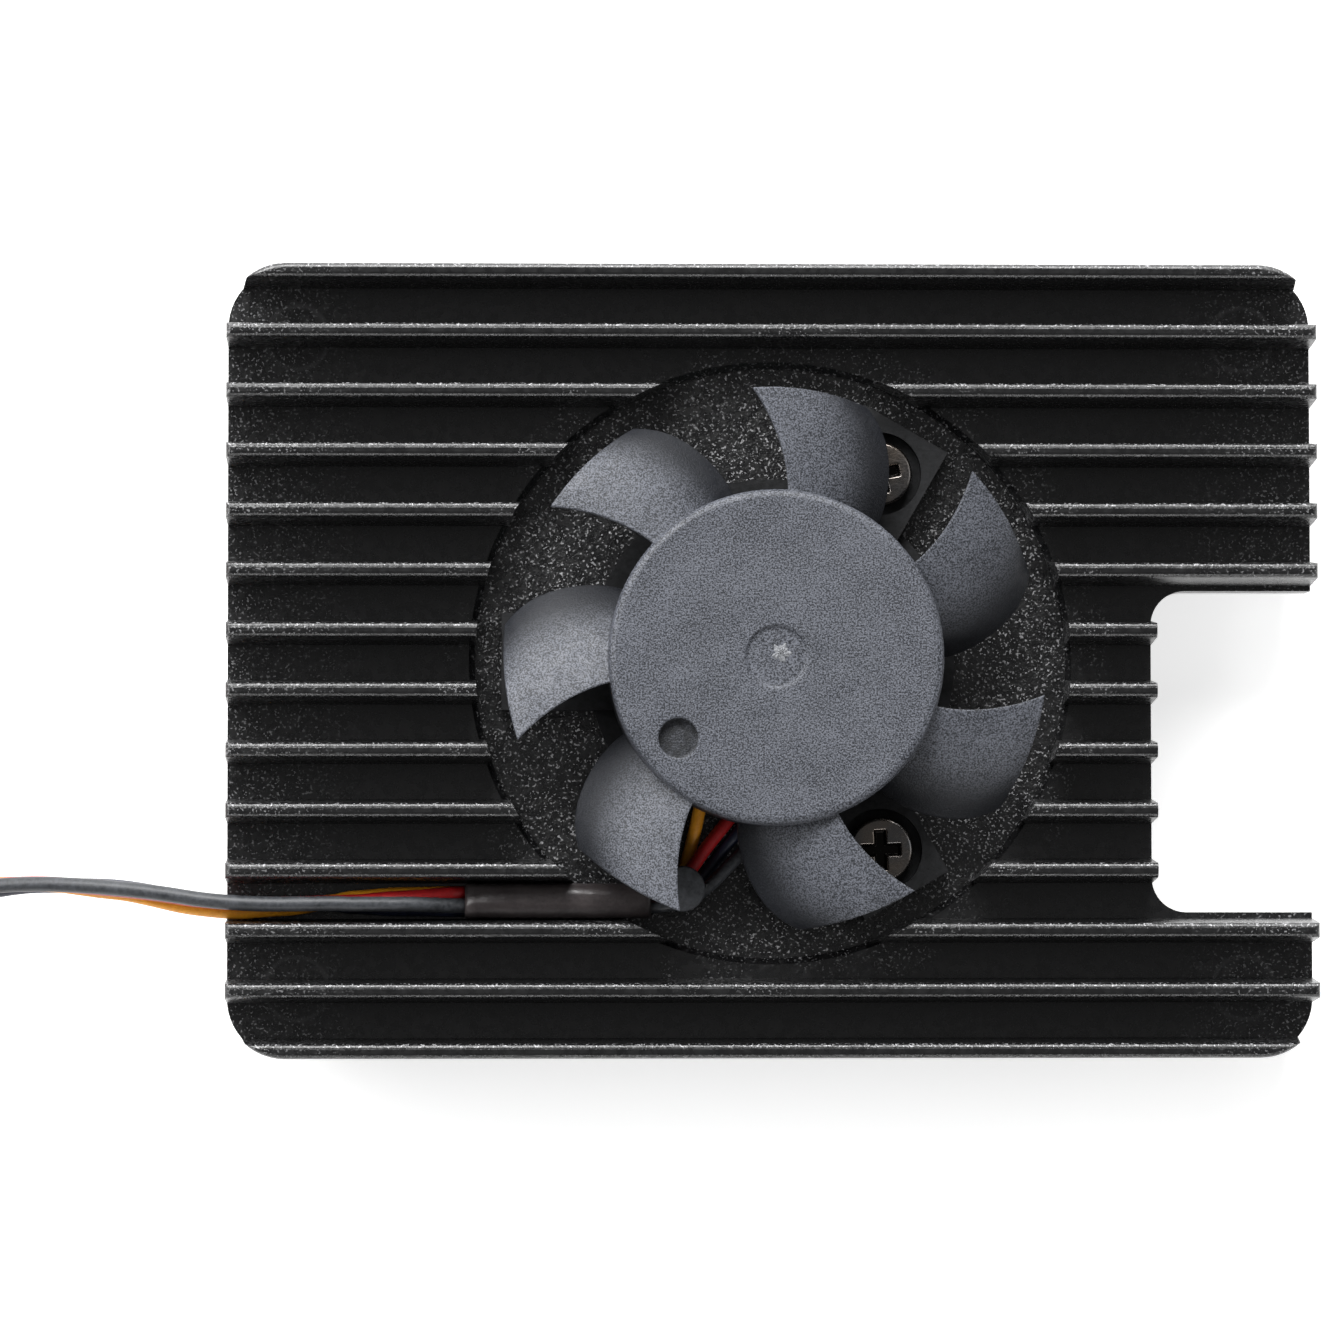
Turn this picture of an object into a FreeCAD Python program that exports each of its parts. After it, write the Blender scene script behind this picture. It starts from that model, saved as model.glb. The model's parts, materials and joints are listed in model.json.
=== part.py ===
import FreeCAD, Part

import math
import os

import Sketcher

# Cooler for a 55 x 40 mm compute module: a finned aluminium heat sink with a
# round pocket, and in the pocket a frameless 30 x 7 mm axial fan whose rotor
# turns about +Z. Four threaded standoffs under the plate take the module's
# own hole pattern. The fan's lead leaves through a channel between two fins.
#
# Frame: millimetres, +X along the fins, +Z up through the fan. The origin is
# the centre of the 55 x 40 mm footprint, on the standoffs' end faces.

Vector = FreeCAD.Vector
UP = Vector(0, 0, 1)
ZERO = Vector(0, 0, 0)

doc = FreeCAD.newDocument("fan_heat_sink")

# ---------------------------------------------------------------- dimensions

SIZES = {
    # plate and fins
    "plate_length": 55.0,
    "plate_width": 40.0,
    "plate_corner": 3.0,
    "plate_thick": 2.0,
    "fin_count": 14,
    "fin_tip": 0.75,
    "fin_draft": 0.25,
    "fin_height": 3.2,
    "fin_round": 0.28,
    "pocket_radius": 15.0,
    "pocket_depth": 0.5,
    "pocket_bevel": 0.3,
    "notch_depth": 8.15,
    "notch_low": 12.67,
    "notch_high": 3.65,
    "notch_round": 1.75,
    # standoffs and thermal pads
    "standoff_height": 2.9,
    "standoff_radius": 2.1,
    "standoff_span_x": 48.0,
    "standoff_span_y": 33.0,
    "shank_radius": 1.6,
    "shank_length": 1.4,
    "thread_radius": 1.025,
    "thread_length": 3.6,
    "pad_thick": 0.5,
    # fan envelope
    "fan_height": 7.0,
    "hub_radius": 8.37,
    "hub_drop": 4.9,
    "hub_wall": 0.65,
    "hub_top_thick": 0.8,
    "hub_round": 0.35,
    "blade_count": 7,
    "blade_tip_radius": 13.5,
    "blade_tip_spread": 0.03,
    "blade_low": 2.75,
    "blade_thick": 0.55,
    # fan base
    "base_radius": 9.3,
    "base_thick": 1.0,
    "tab_reach": 13.65,
    "tab_width": 4.9,
    "tab_thick": 1.7,
    "screw_circle": 11.0,
    "screw_radius": 0.8,
    "head_radius": 1.62,
    "head_height": 0.85,
    "counterbore_radius": 2.1,
    "counterbore_depth": 0.75,
    # bearing and shaft
    "shaft_radius": 0.5,
    "shaft_clearance": 0.03,
    "bearing_radius": 1.45,
    "bearing_tube_radius": 1.85,
    "bush_radius": 1.2,
    # motor
    "board_thick": 0.6,
    "board_radius": 7.6,
    "core_thick": 2.2,
    "core_radius": 5.9,
    "yoke_thick": 0.45,
    "magnet_radius": 6.25,
    "magnet_height": 3.2,
    # lead and cable
    "wire_radius": 0.33,
    "sleeve_radius": 0.93,
    "sleeve_wall": 0.12,
    "cable_radius": 0.85,
    "coil_radius": 8.5,
    "coil_height": 3.6,
    "coil_width": 2.2,
}

sizes = doc.addObject("Spreadsheet::Sheet", "Sizes")
for row, (alias, number) in enumerate(SIZES.items(), start=1):
    sizes.set(f"A{row}", alias)
    sizes.set(f"B{row}", str(number))
    sizes.setAlias(f"B{row}", alias)
doc.recompute()

# Levels above the standoffs' end faces, as expressions on the sheet.
PLATE_BOTTOM = "Sizes.standoff_height"
CHANNEL_FLOOR = "(Sizes.standoff_height + Sizes.plate_thick)"
FIN_TOP = "(Sizes.standoff_height + Sizes.plate_thick + Sizes.fin_height)"
POCKET_FLOOR = "(Sizes.standoff_height + Sizes.plate_thick - Sizes.pocket_depth)"
BASE_TOP = f"({POCKET_FLOOR} + Sizes.base_thick)"
BOARD_TOP = f"({POCKET_FLOOR} + Sizes.base_thick + Sizes.board_thick)"
HUB_TOP = f"({POCKET_FLOOR} + Sizes.fan_height)"
HUB_BOTTOM = f"({HUB_TOP} - Sizes.hub_drop)"
HUB_CEILING = f"({HUB_TOP} - Sizes.hub_top_thick)"
CORE_BOTTOM = f"({BOARD_TOP} + 1.2)"
CORE_TOP = f"({CORE_BOTTOM} + Sizes.core_thick)"


def size(alias):
    """A number from the sheet, by its alias."""
    return float(sizes.get(alias))


def number(expression):
    """What an expression on the sheet comes to."""
    return float(sizes.evalExpression(expression))


# ------------------------------------------------------------------- helpers

exported = []


def keep(item, node):
    """Names a finished sub-part: its label is its file's name."""
    item.Label = node
    exported.append(item)
    return item


def bind(item, **expressions):
    """Ties properties to the sheet; x, y and z place the object."""
    for key, expression in expressions.items():
        path = f".Placement.Base.{key}" if key in "xyz" else key
        item.setExpression(path, str(expression))
    return item


def cylinder(name, radius, bottom, top, **place):
    item = doc.addObject("Part::Cylinder", name)
    return bind(item, Radius=radius, Height=f"{top} - {bottom}", z=bottom, **place)


def box(name, length, width, bottom, top, x="0", y="0"):
    """A block centred on x, y."""
    item = doc.addObject("Part::Box", name)
    bind(item, Length=length, Width=width, Height=f"{top} - {bottom}")
    return bind(item, x=f"{x} - ({length}) / 2", y=f"{y} - ({width}) / 2", z=bottom)


def cut(name, base, tool):
    item = doc.addObject("Part::Cut", name)
    item.Base, item.Tool = base, tool
    return item


def fuse(name, *items):
    item = doc.addObject("Part::MultiFuse", name)
    item.Shapes = list(items)
    return item


def ring(name, outer, inner, bottom, top, **place):
    """A tube with its axis along Z."""
    outside = cylinder(f"{name}_outside", outer, bottom, top, **place)
    inside = cylinder(f"{name}_inside", inner, bottom, top, **place)
    return cut(f"{name}_ring", outside, inside)


def turned(name, item, angle):
    """A copy of an object, turned about the fan's axis."""
    copy = doc.addObject("Part::Feature", name)
    doc.recompute()
    copy.Shape = item.Shape.rotated(ZERO, UP, angle)
    return copy


def group(name, shapes):
    """Identical separate solids in one sub-part."""
    item = doc.addObject("Part::Feature", name)
    item.Shape = Part.makeCompound(shapes)
    return keep(item, name)


def new_body(name):
    body = doc.addObject("PartDesign::Body", name)
    body.AllowCompound = True
    return body


def new_sketch(body, name, role, offset="0"):
    sketch = body.newObject("Sketcher::SketchObject", name)
    plane = next(f for f in body.Origin.OriginFeatures if f.Role == role)
    sketch.AttachmentSupport = (plane, [""])
    sketch.MapMode = "FlatFace"
    sketch.setExpression(".AttachmentOffset.Base.z", offset)
    return sketch


def pin(sketch, geometry, point, x, y):
    """Holds one point of a sketch at x, y, both expressions on the sheet."""
    for kind, expression in (("DistanceX", x), ("DistanceY", y)):
        start = number(expression)
        if abs(start) < 1e-9:
            other = -2 if kind == "DistanceX" else -1
            sketch.addConstraint(Sketcher.Constraint("PointOnObject", geometry, point, other))
            continue
        ends = (-1, 1, geometry, point) if start > 0 else (geometry, point, -1, 1)
        index = sketch.addConstraint(Sketcher.Constraint(kind, *ends, abs(start)))
        sketch.setExpression(f"Constraints[{index}]", expression if start > 0 else f"-({expression})")


def circle(sketch, radius, x="0", y="0"):
    centre = Vector(number(x), number(y), 0)
    shape = Part.Circle(centre, UP, number(radius))
    index = sketch.addGeometry(shape, False)
    pin(sketch, index, 3, x, y)
    datum = sketch.addConstraint(Sketcher.Constraint("Radius", index, number(radius)))
    sketch.setExpression(f"Constraints[{datum}]", radius)


def outline(sketch, points):
    """A closed polygon through points given as pairs of expressions."""
    corners = [Vector(number(x), number(y), 0) for x, y in points]
    count = len(corners)
    lines = [
        sketch.addGeometry(Part.LineSegment(corners[i], corners[(i + 1) % count]), False)
        for i in range(count)
    ]
    for i, line in enumerate(lines):
        sketch.addConstraint(Sketcher.Constraint("Coincident", line, 2, lines[(i + 1) % count], 1))
        pin(sketch, line, 1, *points[i])


def rectangle(sketch, left, right, low, high):
    outline(sketch, [(left, low), (right, low), (right, high), (left, high)])


def feature(body, kind, name, profile, length=None, **settings):
    item = body.newObject(f"PartDesign::{kind}", name)
    item.Profile = profile
    if length:
        item.setExpression("Length", length)
    for key, value in settings.items():
        setattr(item, key, value)
    return item


def removes(item, what):
    """Stops the build if a cut points away from the solid and takes nothing."""
    doc.recompute()
    before = item.BaseFeature.Shape.Volume
    if item.Shape.Volume > before - 1e-4:
        raise RuntimeError(f"{what} removes nothing")


# ----------------------------------------------------------------- heat sink


# A quarter round in five points: how far outward, and how far down, in radii.
EASED_EDGE = ((0.0, 1.0), (0.08, 0.62), (0.29, 0.29), (0.62, 0.08), (1.0, 0.0))


def make_heat_sink():
    """Extruded plate with 14 drafted fins, a round fan pocket and an antenna notch."""
    body = new_body("HeatSink")
    blank = new_sketch(body, "blank_outline", "XY_Plane", PLATE_BOTTOM)
    half_x, half_y = "Sizes.plate_length / 2", "Sizes.plate_width / 2"
    rectangle(blank, f"-{half_x}", half_x, f"-{half_y}", half_y)
    pad = feature(body, "Pad", "blank", blank, "Sizes.plate_thick + Sizes.fin_height")
    doc.recompute()

    upright = [
        f"Edge{i}"
        for i, edge in enumerate(pad.Shape.Edges, start=1)
        if abs(edge.tangentAt(edge.FirstParameter).z) > 0.9
    ]
    corners = body.newObject("PartDesign::Fillet", "corners")
    corners.Base = (pad, upright)
    corners.setExpression("Radius", "Sizes.plate_corner")
    doc.recompute()
    top = number(FIN_TOP)
    rim_edges = [
        f"Edge{i}"
        for i, edge in enumerate(corners.Shape.Edges, start=1)
        if all(abs(vertex.Z - top) < 1e-6 for vertex in edge.Vertexes)
    ]
    eased = body.newObject("PartDesign::Fillet", "outer_edge")
    eased.Base = (corners, rim_edges)
    eased.setExpression("Radius", "Sizes.fin_round")
    doc.recompute()

    # One channel at the +Y edge, its mouth eased to round the fin tips.
    pitch = "((Sizes.plate_width - Sizes.fin_tip) / (Sizes.fin_count - 1))"
    middle = f"(Sizes.plate_width / 2 - Sizes.fin_tip / 2 - {pitch} / 2)"
    foot = f"({pitch} / 2 - Sizes.fin_tip / 2 - Sizes.fin_draft)"
    mouth = f"({pitch} / 2 - Sizes.fin_tip / 2)"
    ease = "Sizes.fin_round"
    channel = new_sketch(body, "channel_section", "YZ_Plane")
    rising = [
        (f"{mouth} + {out} * {ease}", f"{FIN_TOP} - {down} * {ease}") for out, down in EASED_EDGE
    ] + [(f"{mouth} + {ease}", f"{FIN_TOP} + 1")]
    outline(
        channel,
        [(f"{middle} - {foot}", CHANNEL_FLOOR), (f"{middle} + {foot}", CHANNEL_FLOOR)]
        + [(f"{middle} + ({out})", level) for out, level in rising]
        + [(f"{middle} - ({out})", level) for out, level in reversed(rising)],
    )
    groove = feature(body, "Pocket", "channel", channel, Type=1, Midplane=True)
    removes(groove, "the first channel")
    rows = body.newObject("PartDesign::LinearPattern", "channels")
    rows.Originals = [groove]
    y_axis = next(f for f in body.Origin.OriginFeatures if f.Role == "Y_Axis")
    rows.Direction = (y_axis, [""])
    rows.Reversed = True
    rows.setExpression("Occurrences", "Sizes.fin_count - 1")
    rows.setExpression("Length", f"{pitch} * (Sizes.fin_count - 2)")
    body.Tip = rows

    seat = new_sketch(body, "pocket_circle", "XY_Plane", FIN_TOP)
    circle(seat, "Sizes.pocket_radius")
    pocket = feature(body, "Pocket", "fan_pocket", seat, "Sizes.fin_height + Sizes.pocket_depth")
    removes(pocket, "the fan pocket")

    # The pocket's rim in the channel floors is eased by a short cone.
    bevel = new_sketch(body, "bevel_section", "XZ_Plane")
    outline(
        bevel,
        [
            ("Sizes.pocket_radius - 0.5", CHANNEL_FLOOR),
            ("Sizes.pocket_radius - 0.5", f"{CHANNEL_FLOOR} - Sizes.pocket_bevel"),
            ("Sizes.pocket_radius", f"{CHANNEL_FLOOR} - Sizes.pocket_bevel"),
            ("Sizes.pocket_radius + Sizes.pocket_bevel", CHANNEL_FLOOR),
        ],
    )
    rim = feature(body, "Groove", "pocket_rim", bevel, ReferenceAxis=(bevel, ["V_Axis"]))
    removes(rim, "the pocket's bevel")

    gap = new_sketch(body, "notch_outline", "XY_Plane", f"{FIN_TOP} + 1")
    wall = "Sizes.plate_length / 2 - Sizes.notch_depth"
    rectangle(gap, wall, "Sizes.plate_length / 2 + 5", "-Sizes.notch_low", "Sizes.notch_high")
    notch = feature(body, "Pocket", "antenna_notch", gap, "20")
    removes(notch, "the antenna notch")
    wall_x = number(wall)
    notch_sides = number("-Sizes.notch_low"), number("Sizes.notch_high")
    inner = [
        f"Edge{i}"
        for i, edge in enumerate(notch.Shape.Edges, start=1)
        if abs(edge.tangentAt(edge.FirstParameter).z) > 0.9
        and abs(edge.CenterOfMass.x - wall_x) < 1e-3
        and min(abs(edge.CenterOfMass.y - side) for side in notch_sides) < 1e-3
        and edge.Length > 1.5
    ]
    rounds = body.newObject("PartDesign::Fillet", "notch_corners")
    rounds.Base = (notch, inner)
    rounds.setExpression("Radius", "Sizes.notch_round")
    doc.recompute()

    bores = new_sketch(body, "standoff_bores", "XY_Plane", PLATE_BOTTOM)
    for x, y in standoff_places():
        circle(bores, "Sizes.shank_radius", x, y)
    blind = feature(body, "Pocket", "standoff_seats", bores, "Sizes.shank_length", Reversed=True)
    removes(blind, "the standoff seats")

    taps = new_sketch(body, "screw_taps", "XY_Plane", PLATE_BOTTOM)
    for angle in screw_angles():
        circle(taps, "Sizes.screw_radius", *on_circle("Sizes.screw_circle", angle))
    through = feature(body, "Pocket", "screw_holes", taps, "Sizes.plate_thick", Reversed=True)
    removes(through, "the screw holes")
    return keep(body, "heat_sink")


def standoff_places():
    half_x, half_y = "Sizes.standoff_span_x / 2", "Sizes.standoff_span_y / 2"
    return [(x, y) for x in (f"-{half_x}", half_x) for y in (f"-{half_y}", half_y)]


def screw_angles():
    """Three base screws: the first points along -X."""
    return [180, 300, 60]


def on_circle(radius, angle):
    """A place on a circle about the fan's axis, as expressions."""
    cosine, sine = math.cos(math.radians(angle)), math.sin(math.radians(angle))
    return f"{radius} * {cosine:.9f}", f"{radius} * {0.0 if abs(sine) < 1e-9 else sine:.9f}"


def make_standoffs():
    """Four pressed-in standoffs, threaded from their free ends."""
    body = new_body("ModuleStandoffs")
    columns = new_sketch(body, "columns", "XY_Plane")
    shanks = new_sketch(body, "shanks", "XY_Plane", PLATE_BOTTOM)
    threads = new_sketch(body, "threads", "XY_Plane")
    for x, y in standoff_places():
        circle(columns, "Sizes.standoff_radius", x, y)
        circle(shanks, "Sizes.shank_radius", x, y)
        circle(threads, "Sizes.thread_radius", x, y)
    feature(body, "Pad", "column_pad", columns, "Sizes.standoff_height")
    feature(body, "Pad", "shank_pad", shanks, "Sizes.shank_length")
    bore = feature(body, "Pocket", "thread_bores", threads, "Sizes.thread_length", Reversed=True)
    removes(bore, "the standoff threads")
    return keep(body, "module_standoffs")


def make_thermal_pads():
    """Soft pads between the plate and the module's hot chips."""
    pads = {
        "processor_thermal_pad": (15.0, 15.0, -2.4, 1.0),
        "memory_thermal_pad": (10.0, 14.0, -18.0, 1.0),
        "power_chip_thermal_pad": (7.0, 7.0, 13.0, 10.5),
    }
    for node, (length, width, x, y) in pads.items():
        low = f"({PLATE_BOTTOM} - Sizes.pad_thick)"
        keep(box(node, str(length), str(width), low, PLATE_BOTTOM, str(x), str(y)), node)


# ------------------------------------------------------------------ fan base


def make_fan_base():
    """Moulded base: a disc with a bearing boss, three screw tabs and a wire hook."""
    disc = cylinder("base_disc", "Sizes.base_radius", POCKET_FLOOR, BASE_TOP)
    tab_top = f"({POCKET_FLOOR} + Sizes.tab_thick)"
    inner = "(Sizes.board_radius + 0.15)"
    reach = f"(Sizes.tab_reach - {inner})"
    blocks = []
    for index, angle in enumerate(screw_angles()):
        tab = box(f"tab_{index}", reach, "Sizes.tab_width", POCKET_FLOOR, tab_top, f"{inner} + {reach} / 2")
        blocks.append(turned(f"tab_turned_{index}", tab, angle))
    exit_notch = box("lead_exit", "5", "3", f"({POCKET_FLOOR} - 1)", f"({BASE_TOP} + 1)", "0", "-9.4")
    notched = cut("base_notched", disc, turned("lead_exit_turned", exit_notch, LEAD_EXIT_TURN))
    solid = fuse("base_solid", notched, *blocks, *hook_parts())

    tools = [
        cylinder(
            "bearing_seat", "Sizes.bearing_tube_radius", f"({POCKET_FLOOR} + 0.3)", f"({BASE_TOP} + 1)"
        )
    ]
    for index, angle in enumerate(screw_angles()):
        x, y = on_circle("Sizes.screw_circle", angle)
        floor = f"({tab_top} - Sizes.counterbore_depth)"
        top = f"({tab_top} + 1)"
        tools.append(cylinder(f"counterbore_{index}", "Sizes.counterbore_radius", floor, top, x=x, y=y))
        low = f"({POCKET_FLOOR} - 1)"
        tools.append(cylinder(f"screw_way_{index}", "Sizes.screw_radius + 0.15", low, top, x=x, y=y))
    return keep(cut("base_cut", solid, fuse("base_tools", *tools)), "fan_base")


LEAD_EXIT_TURN = -14.0
HOOK_ROOT = (-6.7, -10.3)
HOOK_TIP = (-4.55, -11.48)
HOOK_POST = ((-6.6, -10.2), (-5.65, -10.65))
HOOK_FOOT = ((-4.83, -7.28), (-6.2, -10.1))


def strip(start, end, width, low, high):
    """A straight bar of that width between two points given as x, y."""
    first, last = Vector(*start, 0), Vector(*end, 0)
    along = (last - first).normalize()
    side = Vector(-along.y, along.x, 0) * (width / 2)
    corners = [first + side, last + side, last - side, first - side, first + side]
    face = Part.Face(Part.makePolygon(corners))
    return face.translated(UP * low).extrude(UP * (high - low))


def hook_parts():
    """The hook that holds the leads down: a foot, a post beside them, a finger over them."""
    floor, base_top = number(POCKET_FLOOR), number(BASE_TOP)
    finger_low, finger_high = floor + 2.15, floor + 2.5
    width, nose_radius, post, foot, ease = 1.2, 1.15, 1.1, 1.2, 0.12
    nose = Part.makeCylinder(nose_radius, finger_high - finger_low, Vector(*HOOK_TIP, finger_low), UP)
    finger = strip(HOOK_ROOT, HOOK_TIP, width, finger_low, finger_high).fuse(nose).removeSplitter()
    rim = [e for e in finger.Edges if all(abs(v.Z - finger_high) < 1e-6 for v in e.Vertexes)]
    finger = finger.makeFillet(ease, rim)
    column = strip(*HOOK_POST, post, floor, finger_low)
    hook = doc.addObject("Part::Feature", "wire_hook")
    hook.Shape = finger.fuse([column, strip(*HOOK_FOOT, foot, floor, base_top)]).removeSplitter()
    return [hook]


def make_base_screws():
    """Pan-head cross-recess screws through the tabs into the plate."""
    body = new_body("BaseScrews")
    seat = f"({POCKET_FLOOR} + Sizes.tab_thick - Sizes.counterbore_depth)"
    crown = f"({seat} + Sizes.head_height)"
    profile = new_sketch(body, "screw_profile", "XZ_Plane")
    axis_x = "-Sizes.screw_circle"
    outline(
        profile,
        [
            (axis_x, f"{PLATE_BOTTOM} + 0.1"),
            (f"{axis_x} + Sizes.screw_radius - 0.15", f"{PLATE_BOTTOM} + 0.1"),
            (f"{axis_x} + Sizes.screw_radius", f"{PLATE_BOTTOM} + 0.25"),
            (f"{axis_x} + Sizes.screw_radius", seat),
            (f"{axis_x} + Sizes.head_radius", seat),
            (f"{axis_x} + Sizes.head_radius", f"{crown} - 0.3"),
            (f"{axis_x} + Sizes.head_radius - 0.08", f"{crown} - 0.1"),
            (f"{axis_x} + Sizes.head_radius - 0.28", crown),
            (axis_x, crown),
        ],
    )
    middle = profile.addGeometry(Part.LineSegment(Vector(-11, 0, 0), Vector(-11, 5, 0)), True)
    pin(profile, middle, 1, axis_x, "0")
    pin(profile, middle, 2, axis_x, "5")
    shank = feature(body, "Revolution", "screw_turned", profile, ReferenceAxis=(profile, ["Axis0"]))
    recess = new_sketch(body, "cross_recess", "XY_Plane", crown)
    arm, half = "1.08", "0.34"
    outline(
        recess,
        [
            (f"{axis_x} {dx}", dy)
            for dx, dy in (
                (f"- {arm}", f"-{half}"),
                (f"- {half}", f"-{half}"),
                (f"- {half}", f"-{arm}"),
                (f"+ {half}", f"-{arm}"),
                (f"+ {half}", f"-{half}"),
                (f"+ {arm}", f"-{half}"),
                (f"+ {arm}", half),
                (f"+ {half}", half),
                (f"+ {half}", arm),
                (f"- {half}", arm),
                (f"- {half}", half),
                (f"- {arm}", half),
            )
        ],
    )
    cross = feature(body, "Pocket", "cross", recess, "0.55")
    removes(cross, "the cross recess")
    three = body.newObject("PartDesign::PolarPattern", "three_screws")
    three.Originals = [shank, cross]
    z_axis = next(f for f in body.Origin.OriginFeatures if f.Role == "Z_Axis")
    three.Axis = (z_axis, [""])
    three.Angle, three.Occurrences = 360, len(screw_angles())
    body.Tip = three
    return keep(body, "base_screws")


# ------------------------------------------------------- bearing and stator


def make_bearing():
    """A brass tube in the base holds a sintered sleeve bearing and a thrust pad."""
    seat = f"({POCKET_FLOOR} + 0.3)"
    tube_top = f"({CORE_TOP} + 0.1)"
    wide, bore = "Sizes.bearing_tube_radius", "Sizes.bearing_radius"
    keep(ring("tube", wide, bore, seat, tube_top), "bearing_tube")
    sleeve_low, sleeve_high = f"({seat} + 0.9)", f"({tube_top} - 0.25)"
    fit = "Sizes.shaft_radius + Sizes.shaft_clearance"
    keep(ring("sleeve", bore, fit, sleeve_low, sleeve_high), "sleeve_bearing")
    keep(cylinder("pad", bore, seat, f"({seat} + 0.35)"), "thrust_pad")
    washer_top = f"({sleeve_high} + 0.12)"
    keep(ring("washer", bore, "Sizes.shaft_radius + 0.1", sleeve_high, washer_top), "oil_seal_washer")


def cross_plate(name, hub, arm_width, reach, bottom, top, shoe=None):
    """Four arms on a hub ring; a shoe ring, cut at the diagonals, makes the pole faces."""
    arms = [
        box(f"{name}_arm_x", f"2 * {reach}", arm_width, bottom, top),
        box(f"{name}_arm_y", arm_width, f"2 * {reach}", bottom, top),
    ]
    solid = fuse(f"{name}_cross", cylinder(f"{name}_hub", hub, bottom, top), *arms)
    if shoe:
        gaps = box(f"{name}_gap", "20", "1.3", bottom, top)
        diagonals = [turned(f"{name}_gap_{angle}", gaps, angle) for angle in (45, 135)]
        faces = cut(
            f"{name}_shoes",
            ring(f"{name}_shoe", shoe, f"{shoe} - 0.75", bottom, top),
            fuse(f"{name}_gaps", *diagonals),
        )
        round_off = cylinder(f"{name}_round", shoe, bottom, top)
        common = doc.addObject("Part::MultiCommon", f"{name}_trimmed")
        common.Shapes = [fuse(f"{name}_whole", solid, faces), round_off]
        solid = common
    return cut(f"{name}_bored", solid, cylinder(f"{name}_bore", "Sizes.bearing_tube_radius", bottom, top))


def make_stator():
    """Four-pole laminated core, two insulators and four windings."""
    keep(
        cross_plate(
            "core", "2.7", "1.4", "(Sizes.core_radius + 1)", CORE_BOTTOM, CORE_TOP, "Sizes.core_radius"
        ),
        "stator_core",
    )
    lip = "0.35"
    below, above = f"({CORE_BOTTOM} - {lip})", f"({CORE_TOP} + {lip})"
    keep(cross_plate("lower", "2.9", "1.8", "5.05", below, CORE_BOTTOM), "stator_insulator_lower")
    keep(cross_plate("upper", "2.9", "1.8", "5.05", CORE_TOP, above), "stator_insulator_upper")

    low, high = number(below), number(above)
    inner_width, turns, start, length = 1.86, 0.28, 3.05, 1.8
    windings = []
    for angle in (0, 90, 180, 270):
        outside = Part.makeBox(
            length,
            inner_width + 2 * turns * 1.6,
            high - low + 2 * turns,
            Vector(start, -inner_width / 2 - turns * 1.6, low - turns),
        )
        along = [e for e in outside.Edges if abs(e.tangentAt(e.FirstParameter).x) > 0.9]
        rounded = outside.makeFillet(0.25, along)
        corner = Vector(start, -inner_width / 2, low - 0.02)
        hole = Part.makeBox(length, inner_width, high - low + 0.04, corner)
        windings.append(rounded.cut(hole).rotated(ZERO, UP, angle))
    group("stator_coils", windings)


LEAD_SLOT_TURN = -12.5


def make_circuit():
    """The motor's round board, its driver chip, chip capacitors and solder joints."""
    board = ring("board", "Sizes.board_radius", "Sizes.bearing_tube_radius + 0.05", BASE_TOP, BOARD_TOP)
    slot = box("lead_slot", "5", "2", f"({BASE_TOP} - 1)", f"({BOARD_TOP} + 1)", "0", "-7.35")
    keep(cut("board_cut", board, turned("lead_slot_turned", slot, LEAD_SLOT_TURN)), "fan_circuit_board")

    top = number(BOARD_TOP)
    chip = Part.makeBox(2.2, 1.7, 0.5, Vector(3.4, -0.85, top)).rotated(ZERO, UP, 45)
    item = doc.addObject("Part::Feature", "driver_chip")
    item.Shape = chip
    keep(item, "driver_chip")
    group(
        "chip_capacitors",
        [
            Part.makeBox(1.0, 0.5, 0.45, Vector(4.0, offset, top)).rotated(ZERO, UP, angle)
            for angle, offset in ((135, -0.9), (135, 0.3), (225, -0.25))
        ],
    )
    group(
        "solder_joints",
        [
            Part.makeCone(0.38, 0.15, 0.3, Vector(offset, -5.9, top), UP).rotated(ZERO, UP, LEAD_SLOT_TURN)
            for offset in (-1.8, -0.6, 0.6, 1.8)
        ],
    )


# --------------------------------------------------------------------- rotor

# The leading edge's angle at the hub and its sweep to the tip, in degrees.
BLADE_LEAD, BLADE_SWEEP = 34.4, 9.0
# The angle a blade spans at the hub, what it loses towards the tip, and at its rounded corner.
BLADE_SPAN, BLADE_TAPER, BLADE_CORNER = 34.2, 5.0, 3.2
# The share of a blade's fall that is even; the rest is steeper towards the trailing edge.
EVEN_FALL, FALL_POWER = 0.38, 2.2
BLADE_SECTIONS = (7.2, 8.8, 10.4, 12.0, 13.0, 13.8, 14.6)


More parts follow.
